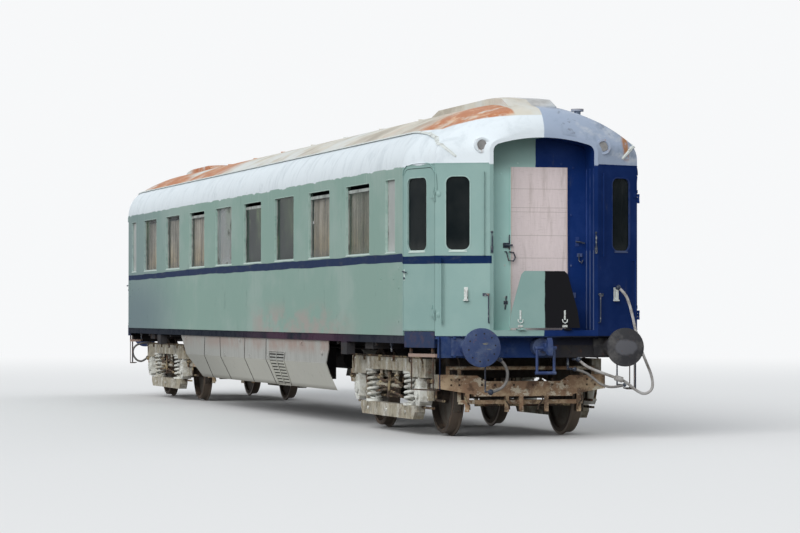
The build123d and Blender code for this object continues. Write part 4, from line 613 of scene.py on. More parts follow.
@finish
def skirt_grey(f):
    streak = f.noise(5.0, 5.0, 0.7, (5, 1, 0.35))
    base = f.mix((0.4, 0.405, 0.385), (0.31, 0.312, 0.292), f.ease(streak, 0.42, 0.7))
    base = f.mix(base, (0.62, 0.62, 0.56), f.ease(f.z, SKIRT_KNEE_Z + 0.01, SKIRT_KNEE_Z - 0.01) * 0.85)
    top = f.ease(f.z, FLANGE + 0.86, FLANGE + 1.02)
    brown = top * f.spots(0.36, 0.6, 1.6, shift=(6, 0, 0))
    base = f.mix(base, (0.345, 0.25, 0.215), brown * 0.8)
    far = f.ease(f.x, 0.5, -4.0)
    base = f.mix(base, (0.27, 0.275, 0.255), far * 0.55)
    dirt = f.spots(0.58, 0.74, 8.0, 7.0, 0.78, (1, 1, 0.5), (2, 5, 1))
    low = f.ease(f.z, FLANGE + 0.5, FLANGE + 0.43)
    base = f.mix(base, (0.1, 0.085, 0.065), (dirt * 0.55) | (low * 0.5))
    f.relief(f.noise(1.5, 2.0, 0.5) * 0.02 + f.noise(18.0, 4.0, 0.7) * 0.001, 0.5)
    f.set(base, 0.66)


# Painted shade: near black, for the shadow in holes, between louvres and under the lips of panel joints.
@finish
def painted_shade_slot(f):
    grime = f.noise(12.0, 4.0)
    f.set(f.mix((0.01, 0.01, 0.01), (0.03, 0.026, 0.022), grime), 0.9)


@finish
def pale_fitting(f):
    wear = f.spots(0.48, 0.66, 18.0, 6.0, 0.75)
    f.set(f.mix((0.62, 0.66, 0.64), (0.22, 0.2, 0.17), wear * 0.7), 0.5)
    f.relief(wear, 0.001)


def hose_skin(f, clean, worn, rough):
    f.set(f.mix(clean, worn, f.spots(0.42, 0.66, 9.0, 6.0, 0.75)), rough)
    f.relief(f.noise(60.0, 4.0), 0.0015)


@finish
def hose_rubber(f):
    hose_skin(f, (0.17, 0.165, 0.16), (0.3, 0.28, 0.26), 0.78)


@finish
def hose_pale(f):
    hose_skin(f, (0.46, 0.45, 0.44), (0.24, 0.22, 0.2), 0.72)


@finish
def lamp_glass(f):
    """Ribbed grey glass in a painted ring."""
    across = abs(f.y) - LAMP_Y
    inside = f.ease((across * across + (f.z - LAMP_Z) * (f.z - LAMP_Z)).power(0.5), 0.06, 0.056)
    ring = f.mix(WHITE_ROOF, GREY_ROOF, f.ease(f.y, -0.01, 0.01))
    ring = f.mix(ring, RUST_LIGHT, f.spots(0.5, 0.66, 11.0, 5.0, 0.75) * 0.7)
    pane = f.mix((0.33, 0.32, 0.31), (0.14, 0.14, 0.14), f.noise(20.0, 3.0, 0.55))
    f.relief(f.noise(2.0, 1.0, 0.5, (1, 60, 1)) * inside, 0.002)
    f.set(f.mix(ring, pane, inside), 0.62 - inside * 0.37, Coat_Weight=inside * 0.6)


@finish
def step_board(f):
    """Navy sill box, worn pinkish board, and dark rusty bars, by height."""
    board = f.band(f.z, STEP_BOARD_Z0, STEP_BOARD_Z1, 0.001)
    box = f.ease(f.z, FLANGE + 1.045, FLANGE + 1.052)
    rusty = f.spots(0.46, 0.66, 9.0, 5.0, 0.75)
    wood = f.mix((0.42, 0.33, 0.29), (0.22, 0.13, 0.09), f.noise(8.0, 6.0, 0.7, (0.6, 8, 8)))
    side = f.mix(NAVY_STRIPE, (0.004, 0.007, 0.02), f.ease(f.y, 0.0, 0.01))
    base = f.mix(f.mix((0.05, 0.036, 0.028), RUST, rusty), wood, board)
    base = f.mix(base, f.mix(side, RUST, rusty * 0.25), box)
    f.relief(f.noise(12.0), 0.003)
    f.set(base, 0.85 - box * 0.25)


def stand(name, data):
    """Puts a new object with some data in the scene."""
    made = bpy.data.objects.new(name, data)
    bpy.context.scene.collection.objects.link(made)
    return made


def paint_node(node, name):
    """Gives a CAD node a finish, on its own mesh."""
    data = NODES[node].data
    data.materials.clear()
    data.materials.append(FINISHES[name])


def piece(name, verts, faces, body, look, sharp=35.0, instead=()):
    """A mesh object from arrays, riding on a body, with edges sharper than an angle kept crisp."""
    mesh = bpy.data.meshes.new(name)
    mesh.from_pydata(np.asarray(verts, float).tolist(), [], [list(map(int, f)) for f in faces])
    mesh.polygons.foreach_set("use_smooth", np.ones(len(mesh.polygons), bool))
    mesh.set_sharp_from_angle(angle=math.radians(sharp))
    mesh.update()
    made = stand(name, mesh)
    mesh.materials.append(FINISHES[look])
    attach(made, body)
    if instead:
        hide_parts(*instead)
    return made


def smooth_copy(node, look, sharp=32.0):
    """A merged, smooth-shaded copy of a CAD node that stands for it."""
    data = NODES[node].data
    co = np.empty(len(data.vertices) * 3, np.float64)
    data.vertices.foreach_get("co", co)
    keys, index = np.unique(np.round(co.reshape(-1, 3), 6), axis=0, return_inverse=True)
    tri = np.empty(len(data.polygons) * 3, np.int64)
    data.polygons.foreach_get("vertices", tri)
    tri = index.reshape(-1)[tri].reshape(-1, 3)
    good = (tri[:, 0] != tri[:, 1]) & (tri[:, 1] != tri[:, 2]) & (tri[:, 0] != tri[:, 2])
    return piece(node + "_finish", keys, tri[good], NODES[node]["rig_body"], look, sharp, instead=(node,))


def grid_faces(nu, nv, wrap_u=False, wrap_v=False):
    """Quads of a grid of nu by nv points, stored row by row."""
    u = np.arange(nu if wrap_u else nu - 1)
    v = np.arange(nv if wrap_v else nv - 1)
    a, b = np.meshgrid(u, v, indexing="ij")
    a, b = a.ravel(), b.ravel()
    a1, b1 = (a + 1) % nu, (b + 1) % nv
    return np.stack([a * nv + b, a1 * nv + b, a1 * nv + b1, a * nv + b1], 1)


class Heap:
    """Collects meshes into one vertex array and one face list."""

    def __init__(self):
        self.verts, self.faces, self.count = [], [], 0

    def add(self, verts, faces):
        verts = np.asarray(verts, float).reshape(-1, 3)
        self.verts.append(verts)
        self.faces += [[int(i) + self.count for i in f] for f in faces]
        self.count += len(verts)
        return self

    def box(self, lo, hi):
        """Rectangular block between two corners."""
        (x0, y0, z0), (x1, y1, z1) = np.minimum(lo, hi), np.maximum(lo, hi)
        v = [(x, y, z) for x in (x0, x1) for y in (y0, y1) for z in (z0, z1)]
        f = [(0, 1, 3, 2), (4, 6, 7, 5), (0, 4, 5, 1), (2, 3, 7, 6), (0, 2, 6, 4), (1, 5, 7, 3)]
        return self.add(v, f)

    def slab(self, corners, depth):
        """Flat outline of any number of corners, carried along a vector."""
        low = np.asarray(corners, float)
        n = len(low)
        normal = np.zeros(3)
        for a, b in zip(low, np.roll(low, -1, 0)):
            normal += np.cross(a, b)
        if np.dot(normal, depth) > 0:
            low = low[::-1]
        faces = [list(range(n)), list(range(2 * n - 1, n - 1, -1))]
        faces += [[(i + 1) % n, i, n + i, n + (i + 1) % n] for i in range(n)]
        return self.add(np.vstack([low, low + np.asarray(depth, float)]), faces)

    def tube(self, path, radius, sides=10):
        """Round bar along a path: a circle carried by frames that turn as little as they can."""
        p = np.asarray(path, float)
        t = np.gradient(p, axis=0)
        t /= np.linalg.norm(t, axis=1)[:, None]
        up = np.array([0.0, 0, 1]) if abs(t[0][2]) < 0.9 else np.array([1.0, 0, 0])
        side = np.cross(t[0], up)
        side /= np.linalg.norm(side)
        sides_at = [side]
        for k in range(1, len(p)):
            side = side - t[k] * np.dot(side, t[k])
            side = side / np.linalg.norm(side)
            sides_at.append(side)
        s = np.array(sides_at)
        b = np.cross(t, s)
        r = np.broadcast_to(np.asarray(radius, float), (len(p),))[:, None, None]
        a = np.linspace(0, 2 * np.pi, sides, endpoint=False)
        ring = np.cos(a)[None, :, None] * s[:, None, :] + np.sin(a)[None, :, None] * b[:, None, :]
        v = (p[:, None, :] + r * ring).reshape(-1, 3)
        n = len(p)
        faces = [list(q) for q in grid_faces(n, sides, False, True)]
        faces += [list(range(sides)), [(n - 1) * sides + i for i in reversed(range(sides))]]
        return self.add(v, faces)

    def lathe(self, profile, origin, axis, sides=24):
        """Profile of (distance along, radius) pairs turned about an axis."""
        axis = np.asarray(axis, float)
        axis /= np.linalg.norm(axis)
        up = np.array([0.0, 0, 1]) if abs(axis[2]) < 0.9 else np.array([1.0, 0, 0])
        e1 = np.cross(up, axis)
        e1 /= np.linalg.norm(e1)
        e2 = np.cross(axis, e1)
        d, r = np.asarray(profile, float).T
        a = np.linspace(0, 2 * np.pi, sides, endpoint=False)
        ring = np.cos(a)[:, None] * e1 + np.sin(a)[:, None] * e2
        v = np.asarray(origin, float) + d[:, None, None] * axis + r[:, None, None] * ring[None]
        n = len(d)
        faces = [list(q)[::-1] for q in grid_faces(n, sides, False, True)]
        faces += [list(range(sides))[::-1], [(n - 1) * sides + i for i in range(sides)]]
        return self.add(v.reshape(-1, 3), faces)

    def bolt(self, at, axis, radius=0.014, height=0.012):
        """Hexagon head."""
        return self.lathe([(0, radius), (height * 0.8, radius), (height, radius * 0.8)], at, axis, 6)

    def mirrored(self, axis):
        """Adds the mirror image of what is there, with its faces turned back."""
        v = np.vstack(self.verts)
        m = v.copy()
        m[:, axis] *= -1
        old = list(self.faces)
        self.add(m, [f[::-1] for f in old])
        return self

    def piece(self, name, body, look, **more):
        return piece(name, np.vstack(self.verts), self.faces, body, look, **more)


# Roof: a crown arc between two shoulder arcs, which shrink and drop over the domes

def outline_half(x):
    """Half width of the plan outline: straight, then two facets."""
    x = np.abs(x)
    return np.interp(x, [0, SIDE_X, CORNER_X, PORTAL_X], [HALF_W, HALF_W, CORNER_Y, PORTAL_Y])


def two_arc(a, b, r):
    """Radius of the arc that runs tangentially from a small arc r to the crown."""
    return (a * a + b * b - 2 * a * r) / (2 * (b - r))


def crown_height(x):
    """Height of the dome on the centre line: a large arc and a nose arc, tangential."""
    u = np.maximum(np.abs(x) - DOME_START, 0)
    a, b = PORTAL_X - DOME_START, CROWN - PORTAL_CROWN
    big = two_arc(a, b, NOSE_R)
    cx = a - NOSE_R
    join = cx + NOSE_R * np.cos(np.arctan2(big - b, cx))
    far = CROWN - big + np.sqrt(np.maximum(big * big - u * u, 0))
    near = PORTAL_CROWN + np.sqrt(np.maximum(NOSE_R ** 2 - (u - cx) ** 2, 0))
    return np.where(u <= join, far, near)


def roof_point(x, v, out=0.0):
    """Roof surface: x along the coach, v from -1 at the right eave over 0 at the crown to 1 at the left.
    Up to two thirds |v| runs over the crown arc, then over the shoulder arc, and from 1 to 1.1 down the
    upright strip. Both arcs have their centres in the plane of x and meet tangentially."""
    x, v = np.broadcast_arrays(np.asarray(x, float), np.asarray(v, float))
    share = np.clip((np.abs(x) - DOME_START) / (PORTAL_X - DOME_START), 0, 1)
    foot = EAVE + EAVE_LIFT + (NOSE_LIFT - EAVE_LIFT) * share ** 3
    half, top = outline_half(x), crown_height(x)
    r = SHOULDER_R + (NOSE_SHOULDER_R - SHOULDER_R) * share ** 2
    r = np.minimum(r, np.minimum(0.92 * (top - foot), 0.9 * half))
    big = two_arc(half, top - foot, r)
    join = np.arctan2(big - (top - foot), half - r)
    t = np.abs(v)
    a_crown = np.pi / 2 - (np.pi / 2 - join) * t * 1.5
    a_side = join * (1 - (np.minimum(t, 1) - 2 / 3) * 3)
    y = np.where(t <= 2 / 3, (big + out) * np.cos(a_crown), half - r + (r + out) * np.cos(a_side))
    z = np.where(t <= 2 / 3, top - big + (big + out) * np.sin(a_crown), foot + (r + out) * np.sin(a_side))
    z = z - np.maximum(t - 1, 0) * 10 * (foot - EAVE)
    return np.stack([x, np.sign(v) * y, z], -1)


def roof_shell():
    """The roof's outer and inner skins over one grid of roof_point, joined round their edge."""
    end = PORTAL_X - 0.001
    nose = PORTAL_X - np.array([1.35, 1.2, 1.05, 0.9, 0.78, 0.66, 0.55, 0.45, 0.36, 0.28, 0.21, 0.155, 0.11,
        0.075, 0.048, 0.028, 0.014, 0.005])
    xs = np.unique(np.concatenate([np.linspace(-DOME_START, DOME_START, 74), nose, -nose, [end, -end],
        [SIDE_X, -SIDE_X, CORNER_X, -CORNER_X]]))
    side = np.linspace(2 / 3, 1, 17)[1:]
    vs = np.concatenate([[-1.1], -side[::-1], np.linspace(-2 / 3, 2 / 3, 53), side, [1.1]])
    outer = roof_point(xs[:, None], vs[None, :])
    inner = roof_point(np.clip(xs, -end, end)[:, None], vs[None, :], -0.04)
    inner[:, :, 2] = np.maximum(inner[:, :, 2], EAVE)
    nu, nv = len(xs), len(vs)
    verts = np.vstack([outer.reshape(-1, 3), inner.reshape(-1, 3)])
    faces = [list(q) for q in grid_faces(nu, nv)]
    faces += [[i + nu * nv for i in q][::-1] for q in grid_faces(nu, nv)]
    ids = np.arange(nu * nv).reshape(nu, nv)
    edge = np.concatenate([ids[:, 0], ids[-1, 1:], ids[-2::-1, -1], ids[0, -2:0:-1]])
    nxt = np.roll(edge, -1)
    faces += [[int(b), int(a), int(a) + nu * nv, int(b) + nu * nv] for a, b in zip(edge, nxt)]
    return piece("roof_panels", verts, faces, "coach", "roof_paint", 40, ("roof",))


# Studio: floor, light, camera

SURROUND = (0.93, 0.94, 0.95)
FLOOR_REACH = 400.0
PHOTO_WIDTH = 800.0
SENSOR = 36.0


def studio():
    """Pale floor that fades to the white surround, one soft key light, one fill, the photo's camera."""
    f = Finish("studio_floor")
    distance = (f.x * f.x + f.y * f.y).power(0.5)
    seen_by_camera = f.node("LightPath").outputs["Is Camera Ray"]
    pale = f.node("BsdfDiffuse", inputs={"Color": (0.74, 0.74, 0.74)})
    dim = f.node("BsdfDiffuse", inputs={"Color": (0.3, 0.29, 0.28)})
    seen = f.node("MixShader", inputs={0: seen_by_camera, 1: dim.outputs[0], 2: pale.outputs[0]})
    white = f.node("Emission", inputs={"Color": SURROUND, "Strength": 1.0})
    fade = f.ease(distance, 15.0, 60.0) * Field(f, seen_by_camera)
    out = f.node("MixShader", inputs={0: fade, 1: seen.outputs[0], 2: white.outputs[0]})
    f.put(f.surface.inputs["Surface"], out.outputs[0])
    f.tree.nodes.remove(f.shader)
    mesh = bpy.data.meshes.new("studio_floor")
    corners = [(FLOOR_REACH * x, FLOOR_REACH * y, 0) for x, y in ((-1, -1), (1, -1), (1, 1), (-1, 1))]
    mesh.from_pydata(corners, [], [(0, 1, 2, 3)])
    mesh.materials.append(f.material)
    stand("studio_floor", mesh)

    world = bpy.data.worlds.new("studio")
    bpy.context.scene.world = world
    world.use_nodes = True
    f.tree = world.node_tree
    f.tree.nodes.clear()
    seen_by_camera = f.node("LightPath").outputs["Is Camera Ray"]
    light = f.node("Background", inputs={"Color": (0.93, 0.97, 1.0), "Strength": 0.62})
    back = f.node("Background", inputs={"Color": SURROUND})
    mixed = f.node("MixShader", inputs={0: seen_by_camera, 1: light.outputs[0], 2: back.outputs[0]})
    f.node("OutputWorld", inputs={0: mixed.outputs[0]})

    suns = (("key", 2.3, (-1.0, 1.0, -0.75), 50), ("fill", 0.7, (1.0, -1.0, -0.9), 70))
    for name, energy, toward, angle in suns:
        data = bpy.data.lights.new(name, "SUN")
        data.energy = energy
        data.angle = math.radians(angle)
        stand(name, data).rotation_euler = Vector(toward).to_track_quat("-Z", "Y").to_euler()

    eye, focal_pixels = (43.2741, -10.7106, 1.49), 2951.086
    yaw, pitch, roll = map(math.radians, (-15.2486, 0.8996, 0.0215))
    look = Vector((-math.cos(yaw) * math.cos(pitch), -math.sin(yaw) * math.cos(pitch), math.sin(pitch)))
    right = look.cross(Vector((0, 0, 1))).normalized()
    up = right.cross(look)
    right, up = right * math.cos(roll) + up * math.sin(roll), up * math.cos(roll) - right * math.sin(roll)
    data = bpy.data.cameras.new("camera")
    data.sensor_width = SENSOR
    data.lens = focal_pixels * SENSOR / PHOTO_WIDTH
    data.clip_end = 1000.0
    camera = stand("camera", data)
    camera.matrix_world = Matrix.Translation(eye) @ Matrix((right, up, -look)).transposed().to_4x4()
    bpy.context.scene.camera = camera
    bpy.context.scene.view_settings.view_transform = "Standard"


# Panels of the ends and sides

def facet(start, stop):
    """Place on an upright panel by s along it, z above the rail and n outward, as numbers or arrays."""
    a, b = np.array(start), np.array(stop)
    along = (b - a) / np.linalg.norm(b - a)
    out = np.array([along[1], -along[0]])

    def at(s, z, n=0.0):
        s, z, n = np.broadcast_arrays(*(np.asarray(q, float) for q in (s, z, n)))
        return np.concatenate([a + s[..., None] * along + n[..., None] * out, z[..., None] + FLANGE], -1)

    return at


def facing_x(x):
    """The upright panel that faces +x at a place, with s = y."""
    return facet((x, 0), (x, 1))


SIDE = facet((0, -HALF_W), (1, -HALF_W))
DOOR = facet((SIDE_X, -HALF_W), (CORNER_X, -CORNER_Y))
CORNER = facet((CORNER_X, -CORNER_Y), (PORTAL_X, -PORTAL_Y))
DOOR_L = math.dist((SIDE_X, HALF_W), (CORNER_X, CORNER_Y))
CORNER_L = math.dist((CORNER_X, CORNER_Y), (PORTAL_X, PORTAL_Y))
END, BULKHEAD = facing_x(PORTAL_X), facing_x(BULKHEAD_X)


studio()

# Hoses: diameter, length, finish, lay, and the route with heights above the rail

HOSES = {
    "heating_hose": (0.034, 2.281, "hose_pale", "hanging", [
        (10.34, 0.46, 0.895), (10.35, 0.53, 0.832), (10.36, 0.67, 0.775), (10.365, 0.85, 0.712),
        (10.365, 1.01, 0.66), (10.36, 1.15, 0.545), (10.36, 1.262, 0.492), (10.36, 1.368, 0.56),
        (10.36, 1.352, 0.72), (10.35, 1.262, 0.925), (10.34, 1.178, 1.15), (10.335, 1.13, 1.37),
        (10.33, 1.085, 1.56), (10.325, 1.035, 1.685), (10.32, 0.965, 1.745)]),
    "brake_hose": (0.036, 0.483, "hose_rubber", "hanging", [
        (10.36, -0.513, 0.9), (10.36, -0.455, 0.84), (10.36, -0.431, 0.745), (10.36, -0.456, 0.628),
        (10.36, -0.541, 0.56), (10.36, -0.62, 0.54)]),
    "jumper_hose": (0.03, 0.639, "hose_rubber", "hanging", [
        (10.4, 0.395, 0.795), (10.4, 0.5, 0.77), (10.4, 0.6, 0.7), (10.4, 0.705, 0.612),
        (10.4, 0.85, 0.578), (10.4, 0.975, 0.606)]),
    "brake_hose_rear": (0.036, 0.74, "hose_rubber", "hanging", [
        (-10.36, -0.905, 0.912), (-10.36, -1.02, 0.902), (-10.36, -1.13, 0.86),
        (-10.36, -1.185, 0.77), (-10.36, -1.165, 0.66), (-10.36, -1.09, 0.575),
        (-10.36, -0.99, 0.565), (-10.36, -0.918, 0.628)]),
}


def hose(name):
    """A smooth hose along its route, between the fitting it leaves and the one it ends in."""
    diameter, length, look, lay, route = HOSES[name]
    curve = bpy.data.curves.new(name + "_line", "CURVE")
    curve.dimensions = "3D"
    curve.bevel_depth = diameter / 2
    curve.bevel_resolution = 4
    curve.resolution_u = 10
    curve.use_fill_caps = True
    line = curve.splines.new("NURBS")
    line.points.add(len(route) - 1)
    for point, (x, y, z) in zip(line.points, route):
        point.co = (x, y, z + FLANGE, 1.0)
    line.order_u = 3
    line.use_endpoint_u = True
    made = stand(name + "_rubber", curve)
    curve.materials.append(FINISHES[look])
    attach(made, "coach")
    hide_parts(name)
    x, y, z = route[0]


collar = smooth_copy("hose_collar", "hose_pale")
hose("heating_hose")
hose("brake_hose")
hose("jumper_hose")
hose("brake_hose_rear")

# Roof and the CAD nodes that keep their own mesh

roof_shell()

LOOKS = {
    "body_paint": "side_wall_right side_wall_left door_frames end_wall_front end_wall_rear end_door_rear "
                  "door_front_right door_front_left door_rear_right door_rear_left bridge_plate_rear "
                  "bridge_plate_front",
    "glass": "window_glass door_glass_front_right door_glass_front_left door_glass_rear_right "
             "door_glass_rear_left end_door_rear_glass",
    "sash_metal": "sash_frames", "floor_wood": "floor", "lining_wood": "partitions",
    "plywood": "plywood_panel", "underframe_black": "underframe headstocks centre_sills bolsters",
    "skirt_grey": "skirts", "step_board": "footsteps", "bogie_paint": "bogie_front_frame bogie_rear_frame",
    "pale_fitting": "rain_strips"}
for look, nodes in LOOKS.items():
    for node in nodes.split():
        paint_node(node, look)
SMOOTHED = {
    "fittings_two_tone": "buffer_heads buffer_casings draw_gear", "underframe_black": "underfloor_equipment",
    "roof_paint": "roof_ventilators roof_end_covers", "lamp_glass": "marker_lamps",
    "body_paint": "handrails", "worn_steel": "hose_fittings",
    "wheel_steel": "wheelset_front_outer wheelset_front_inner wheelset_rear_outer wheelset_rear_inner",
    "axlebox_paint": "bogie_front_axleboxes bogie_rear_axleboxes",
    "bogie_paint": "bogie_front_brake_gear bogie_rear_brake_gear"}
for look, nodes in SMOOTHED.items():
    for node in nodes.split():
        smooth_copy(node, look)


# Body trims, made on the front right quarter and mirrored

def outline(s, z0, z1, wide, r, inset=0.0):
    """Rounded rectangle about s, counter-clockwise, as rows of s and z."""
    a = np.radians(np.linspace(0, 90, 6))[None] + np.radians([0, 90, 180, 270])[:, None]
    mid = np.array([[1, 1], [-1, 1], [-1, -1], [1, -1]]) * (wide / 2 - r, (z1 - z0) / 2 - r)
    rows = mid[:, None] + (r - inset) * np.stack([np.cos(a), np.sin(a)], -1)
    return (rows.reshape(-1, 2) + (s, (z0 + z1) / 2)).T


class Trim(Heap):
    """A heap whose shapes are placed on a panel."""

    def rim(self, at, s, z0, z1, wide, r, width, proud, deep):
        """Frame inside an opening: width across, from proud of the panel to deep in it."""
        outer, inner = outline(s, z0, z1, wide, r), outline(s, z0, z1, wide, r, width)
        loops = [at(*outer, proud), at(*outer, -deep), at(*inner, -deep), at(*inner, proud)]
        return self.add(np.array(loops), grid_faces(4, len(outer[0]), True, True))

    def plate(self, at, s0, s1, z0, z1, n0, n1):
        """Block on a panel."""
        return self.slab(at([s0, s1, s1, s0], [z0, z0, z1, z1], n0), at(s0, z0, n1) - at(s0, z0, n0))

    def tile(self, at, x0, x1, z0, z1, n, depth):
        """Block on a panel that goes back along y."""
        return self.slab(at([x0, x1, x1, x0], [z0, z0, z1, z1], n), (0, depth, 0))

    def strip(self, outline, y, depth):
        """Flat (x, z) outline at y, carried along y."""
        return self.slab([(x, y, z) for x, z in outline], (0, depth, 0))

    def rod(self, at, points, r, sides=8):
        """Round bar through (s, z, n) points of a panel."""
        return self.tube(at(*np.asarray(points, float).T), r, sides)

    def stud(self, at, s, z, r=0.011, h=0.007):
        """Bolt head on a panel."""
        return self.bolt(at(s, z), at(s, z, 1.0) - at(s, z), r, h)

    def flipped(self, sx, sy):
        """This heap mirrored by the signs, as a new one."""
        other = Trim()
        turn = slice(None, None, 1 if sx * sy > 0 else -1)
        return other.add(np.vstack(self.verts) * (sx, sy, 1), [f[turn] for f in self.faces])

    def all_round(self):
        return self.mirrored(1).mirrored(0)


def wall_trims():
    """Window surrounds with sill ledges, studs, the joint under the dome and the arches over the doors."""
    rims = Trim()
    for x, wide in [(x, WIN_W) for x in WIN_X] + [(x, SMALL_WIN_W) for x in (-SMALL_WIN_X, SMALL_WIN_X)]:
        rims.rim(SIDE, x, SILL_H, HEAD_H, wide - 0.001, WIN_R, 0.011, 0.0012, 0.028)
        rims.plate(SIDE, x - wide / 2 - 0.012, x + wide / 2 + 0.012, SILL_H - 0.012, SILL_H + 0.001, -0.003,
            0.004)
    rims.mirrored(1).piece("window_surrounds", "coach", "surround_paint")
    corner = Trim()
    corner.rim(CORNER, 0.268, SILL_H - 0.005, HEAD_H - 0.015, 0.303, 0.09, 0.012, 0.003, 0.03)
    corner.plate(CORNER, 0.16, 0.376, SILL_H - 0.018, SILL_H - 0.004, 0.0, 0.008)
    corner.all_round().piece("corner_window_surrounds", "coach", "surround_paint")
    eaves = Trim()
    for at, length in ((DOOR, DOOR_L), (CORNER, CORNER_L)):
        eaves.plate(at, 0.0, length, EAVE - FLANGE - 0.006, EAVE - FLANGE + 0.006, -0.002, 0.003)
    for x, z in ((8.36, 1.88), (8.97, 1.87), (9.2, 1.36), (9.2, 1.99), (9.2, 1.76)):
        eaves.lathe([(0, 0.012), (0.006, 0.011), (0.009, 0.005)], SIDE(x, z), (0, -1, 0), 8)
    for z in (2.848, 1.44):
        eaves.lathe([(0, 0.03), (0.006, 0.03), (0.009, 0.022)], CORNER(0.04, z),
            CORNER(0, 0, 1) - CORNER(0, 0), 16)
    arch = [(0.004, 3.095), (0.03, 3.165), (0.1, 3.208), (0.25, 3.222), (0.4, 3.226), (0.55, 3.222),
        (0.66, 3.206), (0.74, 3.16), (0.772, 3.1)]
    eaves.rod(DOOR, [(s, z, 0.005) for s, z in arch], 0.007)
    eaves.rod(CORNER, [(0.006, 3.085, 0.006), (0.016, 3.0, 0.006), (0.018, 2.9, 0.006)], 0.007)
    eaves.mirrored(1)
    eaves.mirrored(0).piece("drip_arches", "coach", "body_paint", sharp=50)


def door_trims():
    """Rim, sill, handle, strap ends and kick plate of one door, mirrored to the others."""
    wide = 0.488
    rim, work = Trim(), Trim()
    rim.rim(DOOR, 0.346, SILL_H - 0.005, HEAD_H - 0.015, wide - 0.001, 0.09, 0.013, 0.003, 0.02)
    rim.plate(DOOR, 0.15, 0.54, SILL_H - 0.02, SILL_H - 0.004, 0.0, 0.008)
    rim.plate(DOOR, 0.024, 0.052, 1.845, 1.975, 0.0, 0.004)
    grip = Trim()
    grip.rod(DOOR, [(0.038, 1.95, 0.0), (0.038, 1.95, 0.026), (0.06, 1.948, 0.03), (0.13, 1.94, 0.03)],
        0.008)
    out = DOOR(0, 0, 1) - DOOR(0, 0)
    grip.lathe([(0, 0.017), (0.006, 0.017), (0.008, 0.012)], DOOR(0.038, 1.87), out, 12)
    for s, z in ((0.742, 2.905), (0.705, 1.53)):
        work.plate(DOOR, s - 0.022, s + 0.018, z - 0.02, z + 0.02, 0.0, 0.01)
    for z in (1.435, 2.82):
        work.plate(DOOR, 0.64, 0.758, z - 0.014, z + 0.014, 0.0, 0.003)
        for s in (0.66, 0.7, 0.74):
            work.stud(DOOR, s, z, 0.006, 0.006)
    work.plate(DOOR, 0.016, 0.76, 1.256, 1.276, 0.0, 0.004)
    for end, sx in (("front", 1), ("rear", -1)):
        for hand, sy in (("right", 1), ("left", -1)):
            body = f"door_{end}_{hand}"
            rim.flipped(sx, sy).piece(body + "_rim", body, "surround_paint")
            work.flipped(sx, sy).piece(body + "_fittings", body, "body_paint")
            grip.flipped(sx, sy).piece(body + "_handle", body, "worn_steel")


